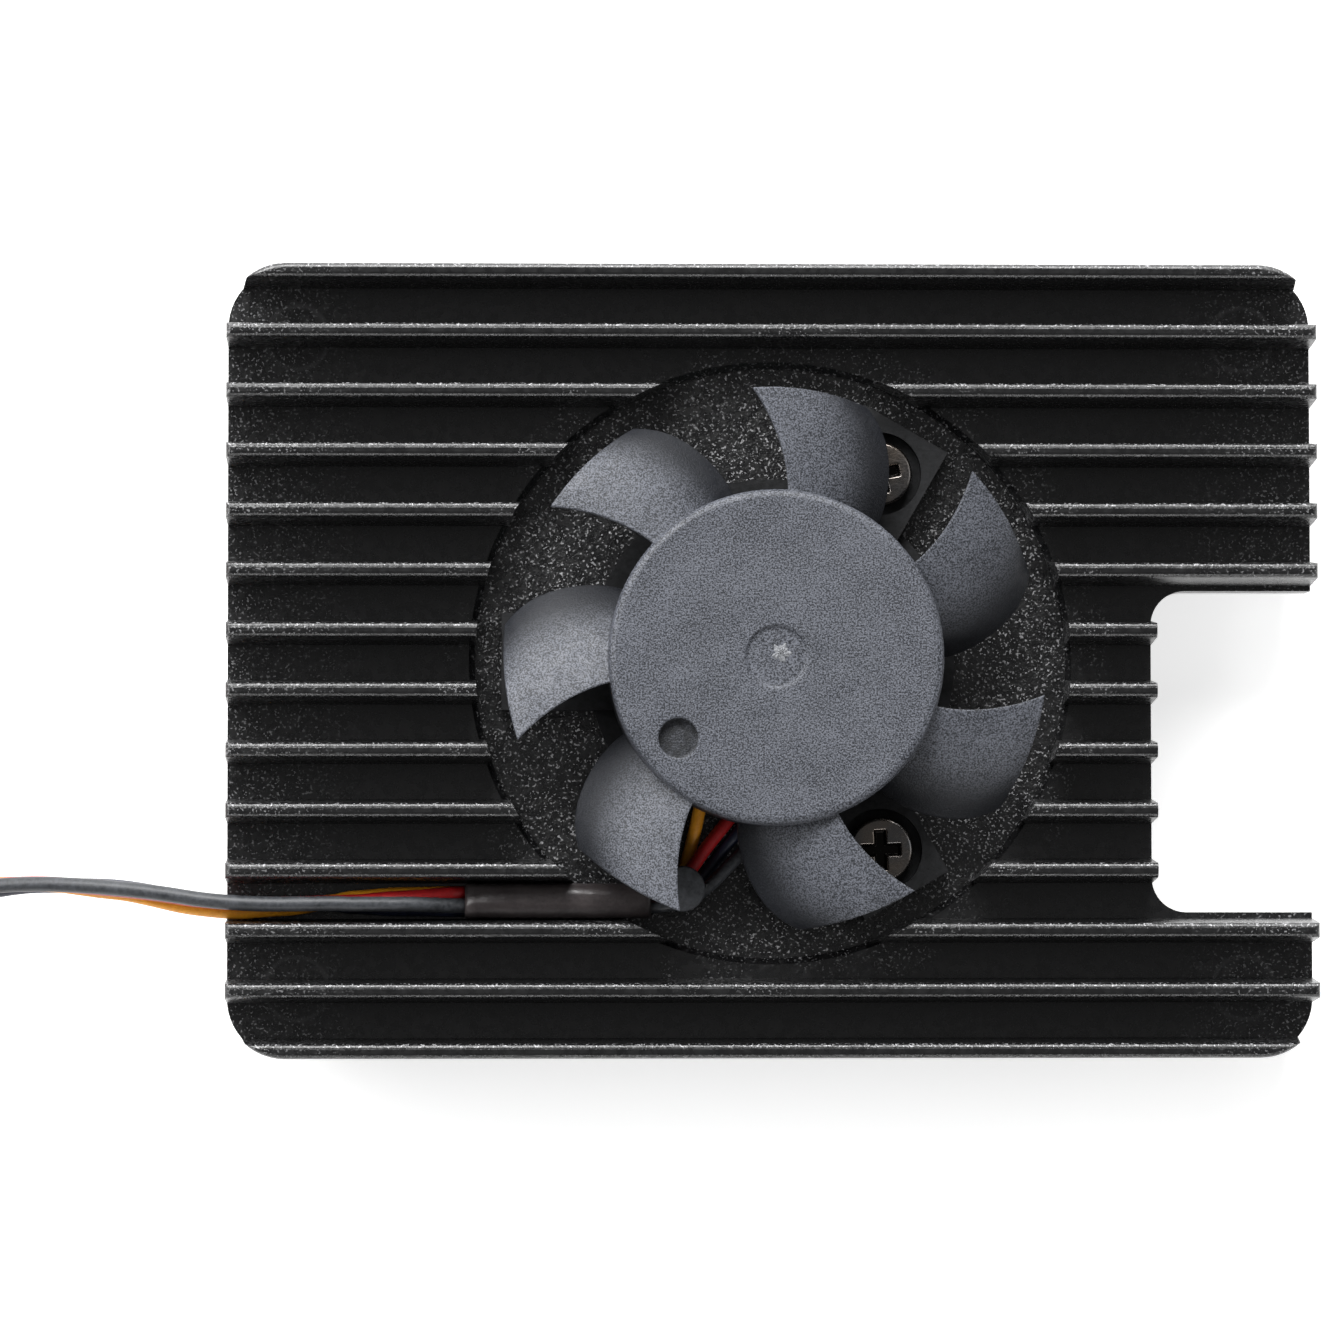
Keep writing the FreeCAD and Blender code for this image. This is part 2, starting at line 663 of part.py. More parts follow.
def make_rotor():
    """The impeller, its steel yoke and ring magnet, and the shaft in a brass bush."""
    outer = "Sizes.hub_radius"
    inner = f"({outer} - Sizes.hub_wall)"
    bush_top = f"({HUB_CEILING} + 0.35)"
    body = new_body("HubCup")
    profile = new_sketch(body, "hub_profile", "XZ_Plane")
    outline(
        profile,
        [
            ("0", f"{HUB_TOP} - 0.12"),
            ("1.45", f"{HUB_TOP} - 0.12"),
            ("1.6", HUB_TOP),
            (f"{outer} - Sizes.hub_round", HUB_TOP),
            (f"{outer} - 0.3 * Sizes.hub_round", f"{HUB_TOP} - 0.3 * Sizes.hub_round"),
            (outer, f"{HUB_TOP} - Sizes.hub_round"),
            (outer, HUB_BOTTOM),
            (inner, HUB_BOTTOM),
            (inner, HUB_CEILING),
            ("Sizes.bush_radius", HUB_CEILING),
            ("Sizes.bush_radius", bush_top),
            ("0", bush_top),
        ],
    )
    feature(body, "Revolution", "hub_cup", profile, ReferenceAxis=(profile, ["V_Axis"]))
    dent = new_sketch(body, "balance_circle", "XY_Plane", HUB_TOP)
    circle(dent, "1.0", "-4.9", "-4.05")
    recess = feature(body, "Pocket", "balance_recess", dent, "0.45")
    removes(recess, "the balance recess")

    blades = doc.addObject("Part::Feature", "blades")
    first = blade_solid()
    step = 360 / int(size("blade_count"))
    spins = [first.rotated(ZERO, UP, step * k) for k in range(int(size("blade_count")))]
    blades.Shape = Part.makeCompound(spins)
    keep(fuse("impeller_whole", body, blades), "impeller")

    yoke_top, yoke_wall = HUB_CEILING, f"({inner} - Sizes.yoke_thick)"
    yoke_low = f"({HUB_BOTTOM} + 0.2)"
    cup = cylinder("yoke_outside", inner, yoke_low, yoke_top)
    hollow = cylinder("yoke_inside", yoke_wall, yoke_low, f"({yoke_top} - 0.4)")
    eye = cylinder("yoke_eye", "Sizes.bush_radius", yoke_low, yoke_top)
    keep(cut("yoke", cup, fuse("yoke_tools", hollow, eye)), "rotor_yoke")

    magnet_top = f"({yoke_top} - 0.4)"
    magnet_low = f"({magnet_top} - Sizes.magnet_height)"
    magnet = ring("magnet", yoke_wall, "Sizes.magnet_radius", magnet_low, magnet_top)
    keep(magnet, "ring_magnet")

    shaft_low = f"({POCKET_FLOOR} + 0.7)"
    shaft = cylinder("shaft_rod", "Sizes.shaft_radius", shaft_low, bush_top)
    clip_low, clip_high = f"({shaft_low} + 0.12)", f"({shaft_low} + 0.32)"
    neck = ring("shaft_neck", "Sizes.shaft_radius + 0.1", "0.36", clip_low, clip_high)
    keep(cut("shaft_cut", shaft, neck), "shaft")
    keep(ring("clip", "0.95", "0.36", clip_low, clip_high), "retaining_clip")
    bush_low = f"({yoke_top} - 0.75)"
    keep(ring("bush", "Sizes.bush_radius", "Sizes.shaft_radius", bush_low, bush_top), "shaft_bush")


def blade_solid():
    """One blade: planar sections square to its own middle line, lofted, then trimmed.

    The upper, leading edge is swept back towards the tip. From it the blade falls
    clockwise, gently at first and then more steeply, and it is narrower at its tip,
    whose end face spreads outwards below.
    """
    hub, tip = size("hub_radius"), size("blade_tip_radius")
    high, low = number(HUB_TOP) - 0.45, number(POCKET_FLOOR) + size("blade_low")
    thick = size("blade_thick")
    middle = BLADE_LEAD + BLADE_SWEEP * 0.5 - BLADE_SPAN / 2
    root_inside = hub - 0.35

    def place(distance, part):
        """A point of the mean surface in the section plane at that distance."""
        turn = 0.0
        for _ in range(12):
            radius = distance / math.cos(turn)
            share = max(0.0, (radius - hub) / (tip - hub))
            span = BLADE_SPAN - BLADE_TAPER * share - BLADE_CORNER * share**6
            angle = BLADE_LEAD + BLADE_SWEEP * share**1.4 - span * part
            turn = math.radians(angle - middle)
        fall = EVEN_FALL * part + (1 - EVEN_FALL) * part**FALL_POWER
        level = high - thick / 2 - (high - low - thick) * fall
        return Vector(distance, distance * math.tan(turn), level)

    sections = []
    for distance in BLADE_SECTIONS:
        mean = [place(distance, part / 6) for part in range(7)]
        upper = Part.BSplineCurve()
        upper.interpolate([p + UP * (thick / 2) for p in mean])
        lower = Part.BSplineCurve()
        lower.interpolate([p - UP * (thick / 2) for p in reversed(mean)])
        edges = [upper.toShape(), lower.toShape()]
        ends = [edges[0].valueAt(edges[0].LastParameter), edges[1].valueAt(edges[1].FirstParameter)]
        starts = [edges[1].valueAt(edges[1].LastParameter), edges[0].valueAt(edges[0].FirstParameter)]
        sections.append(
            Part.Wire([edges[0], Part.makeLine(*ends), edges[1], Part.makeLine(*starts)])
        )
    blade = Part.makeLoft(sections, True, False).rotated(ZERO, UP, middle)
    depth = number(HUB_TOP)
    keeper = Part.makeCone(tip + size("blade_tip_spread") * depth, tip, depth)
    keeper = keeper.cut(Part.makeCylinder(root_inside, depth))
    return blade.common(keeper)


# ---------------------------------------------------------- leads and cable


def pipe(points, radius):
    """A plain tube on straight runs joined by tangent arcs.

    Each arc's radius is 0.45 of the shorter run over the tangent of half the turn.
    """
    corners = [Vector(*point) for point in points]
    edges, tangent_from, radii = [], corners[0], []
    for before, corner, after in zip(corners, corners[1:], corners[2:]):
        back, on = (before - corner), (after - corner)
        trim = 0.45 * min(back.Length, on.Length)
        turn = math.pi - back.getAngle(on)
        radii.append(trim / math.tan(turn / 2))
        back.normalize()
        on.normalize()
        first, last = corner + back * trim, corner + on * trim
        bisector = (back + on).normalize()
        centre = corner + bisector * (radii[-1] / math.cos(turn / 2))
        top = centre - bisector * radii[-1]
        edges.append(Part.LineSegment(tangent_from, first).toShape())
        edges.append(Part.Arc(first, top, last).toShape())
        tangent_from = last
    edges.append(Part.LineSegment(tangent_from, corners[-1]).toShape())
    path = Part.Wire(edges)
    start = Part.Circle(corners[0], corners[1] - corners[0], radius).toShape()
    tube = path.makePipeShell([Part.Wire([start])], True, False)
    length = sum(edge.Length for edge in edges)
    section = math.pi * radius**2
    if abs(tube.Volume - section * length) > 0.02 * section * length:
        raise RuntimeError("a tube's volume is not its section times its length")
    return tube, length, radii


def make_tube(node, points, radius):
    tube, length, radii = pipe(points, radius)
    item = doc.addObject("Part::Feature", node)
    item.Shape = tube
    print(f"{node}: length {length:.1f} mm, radii", [round(r, 1) for r in radii])
    return keep(item, node)


# The leads leave the board side by side, pass under the hook in two layers and
# lie two over two inside the sleeve. Each list is one lead, board end first.
LEADS = {
    "lead_yellow": [
        (-3.45, -6.4, 5.75), (-3.75, -7.9, 5.75), (-4.1, -9.5, 5.15),
        (-4.5, -10.85, 5.1), (-5.4, -11.74, 5.505), (-15.5, -11.74, 5.505),
    ],
    "lead_red": [
        (-1.2, -6.8, 5.75), (-2.3, -8.15, 5.77), (-3.4, -9.5, 5.75),
        (-4.2, -10.7, 5.78), (-5.3, -11.74, 6.175), (-15.5, -11.74, 6.175),
    ],
    "lead_blue": [
        (-0.25, -6.85, 5.75), (-1.45, -8.3, 5.7), (-2.7, -9.85, 5.1),
        (-3.7, -11.2, 5.05), (-5.15, -12.42, 5.505), (-15.5, -12.41, 5.505),
    ],
    "lead_black": [
        (0.65, -6.9, 5.75), (-0.6, -8.65, 5.77), (-2.05, -10.2, 5.75),
        (-3.35, -11.55, 5.78), (-4.85, -12.41, 6.175), (-15.5, -12.41, 6.175),
    ],
}

SLEEVE_FROM, SLEEVE_TO = (-6.12, -12.075, 5.84), (-15.5, -12.075, 5.84)

# The cable's route from the sleeve to the coil, and from the coil to the plug.
CABLE_ROUTE = [
    (-15.5, -12.075, 5.84),
    (-20.5, -12.075, 5.84),
    (-27.0, -12.15, 6.2),
    (-33.0, -11.35, 5.6),
    (-38.8, -11.15, 3.9),
    (-44.2, -11.45, 1.9),
    (-50.5, -11.25, 0.95),
]
COIL_CENTRE = (-52.5, -2.9)
TAIL_ROUTE = [
    (-61.0, -1.6, 2.75),
    (-61.0, 2.2, 2.55),
    (-61.4, 5.8, 1.45),
    (-61.4, 9.2, 1.45),
]


def make_leads():
    for node, points in LEADS.items():
        make_tube(node, points, size("wire_radius"))
    outer, inner = size("sleeve_radius"), size("sleeve_radius") - size("sleeve_wall")
    start, end = Vector(*SLEEVE_FROM), Vector(*SLEEVE_TO)
    run = (end - start).Length
    item = doc.addObject("Part::Feature", "heat_shrink_sleeve")
    item.Shape = Part.makeCylinder(outer, run, start, end - start).cut(
        Part.makeCylinder(inner, run, start, end - start)
    )
    keep(item, "heat_shrink_sleeve")


def make_cable():
    """The free cable: a tube, a flat coil of two and a quarter turns, and a tail."""
    make_tube("fan_cable", CABLE_ROUTE, size("cable_radius"))
    make_tube("fan_cable_tail", TAIL_ROUTE, size("cable_radius"))
    width, tall, middle = size("coil_width"), size("coil_height"), size("coil_radius")
    coil = Part.makeCylinder(middle + width / 2, tall).cut(Part.makeCylinder(middle - width / 2, tall))
    rims = [edge for edge in coil.Edges if isinstance(edge.Curve, Part.Circle)]
    item = doc.addObject("Part::Feature", "fan_cable_coil")
    item.Shape = coil.makeFillet(0.7, rims)
    item.Placement = FreeCAD.Placement(Vector(*COIL_CENTRE, 0), FreeCAD.Rotation())
    keep(item, "fan_cable_coil")


def make_tie():
    """A small tie round the coil's bundle, with its head on top."""
    width, wall = 1.6, 0.35
    inner_y, inner_z = size("coil_width") / 2, size("coil_height")
    x, y = COIL_CENTRE[0], COIL_CENTRE[1] + size("coil_radius")
    band_corner = Vector(x - width / 2, y - inner_y - wall, 0)
    band = Part.makeBox(width, 2 * (inner_y + wall), inner_z + wall, band_corner)
    hole = Part.makeBox(width, 2 * inner_y, inner_z - wall, Vector(x - width / 2, y - inner_y, wall))
    head = Part.makeBox(width + 0.6, 1.9, 1.0, Vector(x - width / 2 - 0.3, y - 0.95, inner_z + wall))
    item = doc.addObject("Part::Feature", "cable_tie")
    item.Shape = band.cut(hole).fuse(head).removeSplitter()
    keep(item, "cable_tie")


PLUG_BACK = (-61.4, 9.2)
PLUG_SIZE = (6.6, 4.4, 2.9)
PLUG_PITCH = 1.25


def make_plug():
    """A four-way 1.25 mm crimp housing with its four contacts."""
    width, length, tall = PLUG_SIZE
    x, y = PLUG_BACK
    body = new_body("ConnectorHousing")
    outer = new_sketch(body, "housing_outline", "XY_Plane")
    rectangle(outer, str(x - width / 2), str(x + width / 2), str(y), str(y + length))
    feature(body, "Pad", "housing_block", outer, str(tall))
    ways = new_sketch(body, "contact_ways", "XZ_Plane", str(-(y + length + 1)))
    for place in plug_places():
        left, right = str(x + place - 0.42), str(x + place + 0.42)
        rectangle(ways, left, right, str(tall / 2 - 0.6), str(tall / 2 + 0.6))
    cavity = feature(body, "Pocket", "contact_cavities", ways, str(length + 2))
    doc.recompute()
    if cavity.Shape.Volume > width * length * tall - 1:
        cavity.Reversed = True
    removes(cavity, "the contact cavities")
    keep(body, "connector_housing")
    contacts = []
    for place in plug_places():
        sheath = Part.makeBox(0.8, 3.2, 1.0, Vector(x + place - 0.4, y + 0.7, tall / 2 - 0.5))
        bore = Part.makeBox(0.5, 2.6, 0.6, Vector(x + place - 0.25, y + 1.3, tall / 2 - 0.3))
        contacts.append(sheath.cut(bore))
    group("connector_contacts", contacts)


def plug_places():
    return [PLUG_PITCH * (i - 1.5) for i in range(4)]


# --------------------------------------------------------------------- build

make_heat_sink()
make_standoffs()
make_thermal_pads()
make_fan_base()
make_base_screws()
make_bearing()
make_stator()
make_circuit()
make_rotor()
make_leads()
make_cable()
make_tie()
make_plug()
doc.recompute()

for item in doc.Objects:
    if "Invalid" in item.State or "Error" in item.State:
        raise RuntimeError(f"{item.Label} failed: {item.State}")
for item in exported:
    if item.Shape.isNull() or not item.Shape.isValid():
        raise RuntimeError(f"{item.Label} has no valid shape")

os.makedirs("parts", exist_ok=True)
for item in exported:
    item.Shape.exportStep(f"parts/{item.Label}.step")
    solids = len(item.Shape.Solids)
    print(f"{item.Label}: {solids} solid(s), {item.Shape.Volume:.2f} mm3")
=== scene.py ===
import json
import math

import bmesh
import bpy
from mathutils import Matrix, Vector


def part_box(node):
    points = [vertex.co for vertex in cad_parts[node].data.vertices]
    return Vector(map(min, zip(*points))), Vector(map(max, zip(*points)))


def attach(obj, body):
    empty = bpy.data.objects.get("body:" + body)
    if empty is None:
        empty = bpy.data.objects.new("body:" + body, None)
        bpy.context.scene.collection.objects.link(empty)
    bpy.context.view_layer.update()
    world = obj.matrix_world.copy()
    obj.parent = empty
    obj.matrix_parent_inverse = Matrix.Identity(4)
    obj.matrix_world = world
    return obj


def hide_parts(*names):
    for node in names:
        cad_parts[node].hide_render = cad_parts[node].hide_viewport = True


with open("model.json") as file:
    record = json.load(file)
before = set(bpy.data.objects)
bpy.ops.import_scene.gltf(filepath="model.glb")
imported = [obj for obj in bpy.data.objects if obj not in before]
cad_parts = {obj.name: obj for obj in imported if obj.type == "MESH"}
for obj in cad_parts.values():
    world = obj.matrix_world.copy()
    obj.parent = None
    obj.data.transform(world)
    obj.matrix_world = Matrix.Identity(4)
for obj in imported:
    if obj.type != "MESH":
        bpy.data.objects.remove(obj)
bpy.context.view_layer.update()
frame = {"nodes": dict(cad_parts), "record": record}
nodes = frame["nodes"]

# ---------------------------------------------------------------- camera
PHOTO_SIDE = 1321
FOCAL_PIXELS = 6271.0
SENSOR_MM = 36.0
CAMERA_AT = Vector((-0.015575, -0.014868, 0.3224))
CAMERA_AIM = Vector((-0.005619, 0.000055, 0.006))
CAMERA_ROLL = -0.001


def make_camera():
    """A camera at the photo's place and angle."""
    data = bpy.data.cameras.new("photo_camera")
    data.sensor_width = SENSOR_MM
    data.lens = FOCAL_PIXELS / PHOTO_SIDE * SENSOR_MM
    data.clip_start, data.clip_end = 0.01, 20.0
    data.dof.use_dof = False
    camera = bpy.data.objects.new("photo_camera", data)
    bpy.context.scene.collection.objects.link(camera)
    back = (CAMERA_AT - CAMERA_AIM).normalized()
    right = Vector((0, 1, 0)).cross(back).normalized()
    up = back.cross(right)
    cosine, sine = math.cos(CAMERA_ROLL), math.sin(CAMERA_ROLL)
    right, up = right * cosine + up * sine, up * cosine - right * sine
    turn = Matrix((right, up, back)).transposed().to_4x4()
    camera.matrix_world = Matrix.Translation(CAMERA_AT) @ turn
    bpy.context.scene.camera = camera


# ---------------------------------------------------------------- materials
# Where the materials change, in metres on the CAD model. Each pair is a start and an end.
PLATE_ENDS = (0.0195, 0.0265)
POCKET_RIM = (0.0153, 0.0149)
POCKET_APRON = (0.0176, 0.0164)
FIN_TIPS = (0.0074, 0.0079)
STANDOFF_X, STANDOFF_Y, STANDOFF_RADIUS = 0.024, 0.0165, 0.0016
STANDOFF_RING = (0.00016, 0.00004)
CHANNEL_FLOOR = (0.0060, 0.0055)
# Heights over which painted shade darkens the blades towards their low ends.
BLADE_SHADE_HEIGHTS = (0.0102, 0.0084)
# The balance recess, which painted shade darkens.
BALANCE_X, BALANCE_Y = -0.0049, -0.00405
BALANCE_WALL = (0.00104, 0.00094)
BALANCE_DEPTH = (0.01132, 0.01118)
HUB_EDGE = 0.00016
# Heights of the step from painted shade on the base to painted light on the hook's finger.
HOOK_FINGER = (0.0064, 0.0067)
# Heights below which painted shade darkens the screws' cross recesses.
SCREW_RECESS_SHADE = (0.0060, 0.0058)
# Most of a noise's values lie between these two.
NOISE_LOW, NOISE_HIGH = 0.3, 0.7
BEVEL_SAMPLES = 6


class Recipe:
    """A procedural material: nodes are added by short calls that return their output sockets."""

    def __init__(self, name, **constants):
        self.material = bpy.data.materials.new(name)
        self.material.use_nodes = True
        self.tree = self.material.node_tree
        self.tree.nodes.clear()
        self.shader = self.tree.nodes.new("ShaderNodeBsdfPrincipled")
        output = self.tree.nodes.new("ShaderNodeOutputMaterial")
        self.tree.links.new(self.shader.outputs[0], output.inputs[0])
        self.place = self.tree.nodes.new("ShaderNodeTexCoord").outputs["Object"]
        for key, value in constants.items():
            self.shader.inputs[key.replace("_", " ")].default_value = value

    def put(self, node, **inputs):
        for key, value in inputs.items():
            socket = node.inputs[key.replace("_", " ")]
            if isinstance(value, bpy.types.NodeSocket):
                self.tree.links.new(value, socket)
            else:
                socket.default_value = value
        return node

    def wire(self, **inputs):
        self.put(self.shader, **inputs)

    def stretched(self, scale):
        """The object's own place, scaled along its axes."""
        node = self.tree.nodes.new("ShaderNodeMapping")
        self.put(node, Vector=self.place, Scale=scale)
        return node.outputs[0]

    def noise(self, scale, detail=2.0, roughness=0.5, vector=None):
        node = self.tree.nodes.new("ShaderNodeTexNoise")
        self.put(node, Vector=vector or self.place, Scale=scale)
        self.put(node, Detail=detail, Roughness=roughness)
        return node.outputs[0]

    def cells(self, scale, feature="F1"):
        node = self.tree.nodes.new("ShaderNodeTexVoronoi")
        node.feature = feature
        self.put(node, Vector=self.place, Scale=scale)
        return node.outputs["Distance"]

    def wave(self, scale, direction, distortion=0.0):
        node = self.tree.nodes.new("ShaderNodeTexWave")
        node.bands_direction = direction
        self.put(node, Vector=self.place, Scale=scale, Distortion=distortion)
        return node.outputs["Fac"]

    def maths(self, operation, a, b=0.0):
        node = self.tree.nodes.new("ShaderNodeMath")
        node.operation = operation
        for socket, value in zip(node.inputs, (a, b)):
            if isinstance(value, bpy.types.NodeSocket):
                self.tree.links.new(value, socket)
            else:
                socket.default_value = value
        return node.outputs[0]

    def between(self, value, low, high, to_low=0.0, to_high=1.0):
        """Eases from to_low, where value is low, to to_high, where it is high."""
        node = self.tree.nodes.new("ShaderNodeMapRange")
        node.interpolation_type = "SMOOTHSTEP"
        self.put(node, Value=value, From_Min=low, From_Max=high)
        self.put(node, To_Min=to_low, To_Max=to_high)
        return node.outputs[0]

    def ramp(self, value, *stops):
        node = self.tree.nodes.new("ShaderNodeValToRGB")
        elements = node.color_ramp.elements
        while len(elements) < len(stops):
            elements.new(0.5)
        for element, (position, colour) in zip(elements, stops):
            element.position = position
            element.color = (*colour, 1.0)
        self.tree.links.new(value, node.inputs[0])
        return node.outputs[0]

    def most(self, first, *others):
        for other in others:
            first = self.maths("MAXIMUM", first, other)
        return first

    def times(self, first, *others):
        for other in others:
            first = self.maths("MULTIPLY", first, other)
        return first

    def mixed(self, first, share, second):
        """A share of the first value, and the rest of the second."""
        return self.maths("ADD", self.times(first, share), self.times(second, 1 - share))

    def weave(self, scale):
        return self.times(self.wave(scale, "X"), self.wave(scale, "Y"))

    def away(self, x, y):
        """How far a point is from an upright line, given its x and y."""
        return self.maths("SQRT", self.maths("ADD", self.times(x, x), self.times(y, y)))

    def blend(self, share, first, second):
        """The first colour where share is 0, the second where it is 1."""
        node = self.tree.nodes.new("ShaderNodeMix")
        node.data_type = "RGBA"
        self.tree.links.new(share, node.inputs[0])
        # A Mix node's colours are its sockets 6 and 7, and its output 2.
        for socket, value in ((node.inputs[6], first), (node.inputs[7], second)):
            if isinstance(value, bpy.types.NodeSocket):
                self.tree.links.new(value, socket)
            else:
                socket.default_value = (*value, 1.0)
        return node.outputs[2]

    def split(self, vector):
        """The X, Y and Z of a vector."""
        node = self.tree.nodes.new("ShaderNodeSeparateXYZ")
        self.tree.links.new(vector, node.inputs[0])
        return node.outputs

    def axes(self):
        return self.split(self.place)

    def normal(self):
        node = self.tree.nodes.new("ShaderNodeNewGeometry")
        return self.split(node.outputs["Normal"])

    def worn_edges(self, radius):
        """Normals that turn as if sharp edges were rounded by this radius."""
        node = self.tree.nodes.new("ShaderNodeBevel")
        node.samples = BEVEL_SAMPLES
        node.inputs["Radius"].default_value = radius
        return node.outputs[0]

    def bump(self, height, depth, strength=1.0, over=None):
        """Height 0 to 1 stands for depth metres."""
        node = self.tree.nodes.new("ShaderNodeBump")
        self.put(node, Height=height, Distance=depth, Strength=strength)
        if over is not None:
            self.tree.links.new(over, node.inputs["Normal"])
        return node.outputs[0]


def powder_coat():
    """Black powder coat: smooth on the flats, gritty on edges, plate ends and in the pocket,
    where bright specks in its colour are painted glints.
    """
    m = Recipe("black_powder_coat", Metallic=0.0, Specular_IOR_Level=0.95)
    x, y, z = m.axes()
    _, facing_back, facing_up = m.normal()
    radius = m.away(x, y)
    ends = m.between(m.maths("ABSOLUTE", x), *PLATE_ENDS)
    patches = m.noise(260.0)
    pocket = m.between(radius, *POCKET_RIM)
    apron = m.times(m.between(radius, *POCKET_APRON), m.between(patches, 0.42, 0.6))
    tips = m.between(z, *FIN_TIPS)
    turning = m.between(facing_up, 0.985, 0.9)
    edges = m.times(tips, turning)
    grainy = m.most(m.times(ends, 0.6), pocket, m.times(apron, 0.5))
    grainy = m.times(grainy, m.between(patches, 0.3, 0.62, 0.6, 1.0))
    amount = m.maths("ADD", m.most(m.times(grainy, 0.36), m.times(edges, 0.34)), 0.08)
    grit = m.noise(6200.0, 3.0, 0.7)
    pips = m.cells(7600.0)
    coarse = m.bump(grit, 0.00007, amount)
    fine = m.bump(pips, 0.00003, amount, coarse)
    # Painted glints: bright specks in the coat's colour, also along the fin tips' edges that face
    # +Y, towards the key light; and the faint rings over the pressed-in standoffs.
    chance = m.noise(7800.0, 1.0, 0.5)
    # Painted highlight: the fin-tip edges facing +Y get more glint specks.
    glint_edges = m.times(tips, m.between(facing_back, 0.1, 0.4))
    where = m.most(grainy, glint_edges, m.times(edges, 0.3), m.times(ends, 0.4))
    glint_specks = m.times(m.between(chance, 0.62, 0.665), where)
    from_x = m.maths("SUBTRACT", m.maths("ABSOLUTE", x), STANDOFF_X)
    from_y = m.maths("SUBTRACT", m.maths("ABSOLUTE", y), STANDOFF_Y)
    ring = m.maths("SUBTRACT", m.away(from_x, from_y), STANDOFF_RADIUS)
    ring = m.between(m.maths("ABSOLUTE", ring), *STANDOFF_RING)
    ring = m.times(ring, m.between(z, *CHANNEL_FLOOR))
    tone = m.noise(1400.0, 4.0, 0.6)
    base = m.ramp(tone, (0.3, (0.0035, 0.0035, 0.004)), (0.75, (0.0085, 0.0085, 0.009)))
    lit = m.most(glint_specks, m.times(ring, 0.055))
    m.wire(
        Base_Color=m.blend(lit, base, (0.36, 0.36, 0.37)),
        Roughness=m.between(m.noise(2300.0), NOISE_LOW, NOISE_HIGH, 0.23, 0.32),
        Normal=fine,
    )
    return m.material


def slate_plastic():
    """The impeller: grained blue-gray plastic, darker low on the blades and in its recess, where
    shade is painted into its colour.
    """
    m = Recipe("slate_plastic")
    x, y, z = m.axes()
    grain = m.noise(11500.0, 1.0, 0.6)
    cloud = m.noise(420.0, 3.0, 0.6)
    tone = m.mixed(grain, 0.86, cloud)
    base = m.ramp(tone, (0.39, (0.013, 0.015, 0.02)), (0.61, (0.13, 0.138, 0.163)))
    # Painted shade: the blades' colour darkens towards their low trailing ends, where the hub and
    # the next blade shade them.
    base = m.blend(m.between(z, *BLADE_SHADE_HEIGHTS, 0.0, 0.9), base, (0.008, 0.009, 0.012))
    # Painted shade: the balance recess is darkened in the impeller's colour.
    recess_shade = m.away(m.maths("SUBTRACT", x, BALANCE_X), m.maths("SUBTRACT", y, BALANCE_Y))
    recess_shade = m.times(m.between(recess_shade, *BALANCE_WALL), m.between(z, *BALANCE_DEPTH))
    recess_shade = m.times(recess_shade, m.between(m.noise(3000.0, 3.0, 0.6), 0.3, 0.62, 0.5, 0.95))
    m.wire(
        Base_Color=m.blend(recess_shade, base, (0.012, 0.013, 0.015)),
        Roughness=m.between(m.noise(1800.0), NOISE_LOW, NOISE_HIGH, 0.46, 0.6),
        Normal=m.bump(grain, 0.00003, 0.9, m.worn_edges(HUB_EDGE)),
    )
    return m.material


def base_plastic():
    """The fan's base: near-black, and lighter above the height where the hook's finger starts:
    painted shade low down, painted light on the finger.
    """
    m = Recipe("base_plastic", Specular_IOR_Level=0.3)
    z = m.axes()[2]
    mottle = m.noise(3200.0, 3.0, 0.65)
    base = m.ramp(mottle, (0.32, (0.006, 0.0062, 0.0068)), (0.68, (0.015, 0.0155, 0.017)))
    finger = m.ramp(mottle, (0.32, (0.035, 0.037, 0.041)), (0.68, (0.075, 0.079, 0.087)))
    m.wire(
        # Painted light and shade: the low base is darkened and the raised finger lightened, split
        # by height.
        Base_Color=m.blend(m.between(z, *HOOK_FINGER), base, finger),
        Roughness=m.between(m.noise(1800.0), NOISE_LOW, NOISE_HIGH, 0.5, 0.64),
        Normal=m.bump(m.noise(5200.0, 3.0, 0.6), 0.00002, 0.8),
    )
    return m.material


def screw_steel():
    """Zinc-plated screws: fine scratches, brownish stain, and painted shade in the cross recess.
    """
    m = Recipe("screw_steel", Metallic=1.0)
    z = m.axes()[2]
    stain = m.noise(620.0, 3.0, 0.6)
    scratch = m.noise(5600.0, 3.0, 0.6, m.stretched((1, 3, 1)))
    base = m.ramp(stain, (0.3, (0.2, 0.2, 0.205)), (0.7, (0.3, 0.255, 0.22)))
    # Painted shade: below this height, down in the cross recess, the colour turns near-black.
    cross_recess_shade = m.between(z, *SCREW_RECESS_SHADE)
    m.wire(
        Base_Color=m.blend(cross_recess_shade, base, (0.02, 0.018, 0.017)),
        Roughness=m.between(scratch, NOISE_LOW, NOISE_HIGH, 0.2, 0.34),
        Normal=m.bump(scratch, 0.000006, 0.4),
    )
    return m.material


def shrink_tube():
    """Heat-shrink sleeve: brownish gray, wrinkled where it has drawn down on the wires."""
    m = Recipe("shrink_tube")
    cloud = m.noise(900.0, 3.0, 0.6)
    wrinkle = m.noise(2100.0, 3.0, 0.6, m.stretched((0.45, 1, 1)))
    scuff = m.noise(6400.0, 3.0, 0.65)
    tone = m.mixed(cloud, 0.6, scuff)
    m.wire(
        Base_Color=m.ramp(tone, (0.34, (0.022, 0.018, 0.0185)), (0.66, (0.05, 0.042, 0.042))),
        Roughness=m.between(scuff, NOISE_LOW, NOISE_HIGH, 0.3, 0.42),
        Normal=m.bump(scuff, 0.00001, 0.6, m.bump(wrinkle, 0.00005, 0.5)),
    )
    return m.material


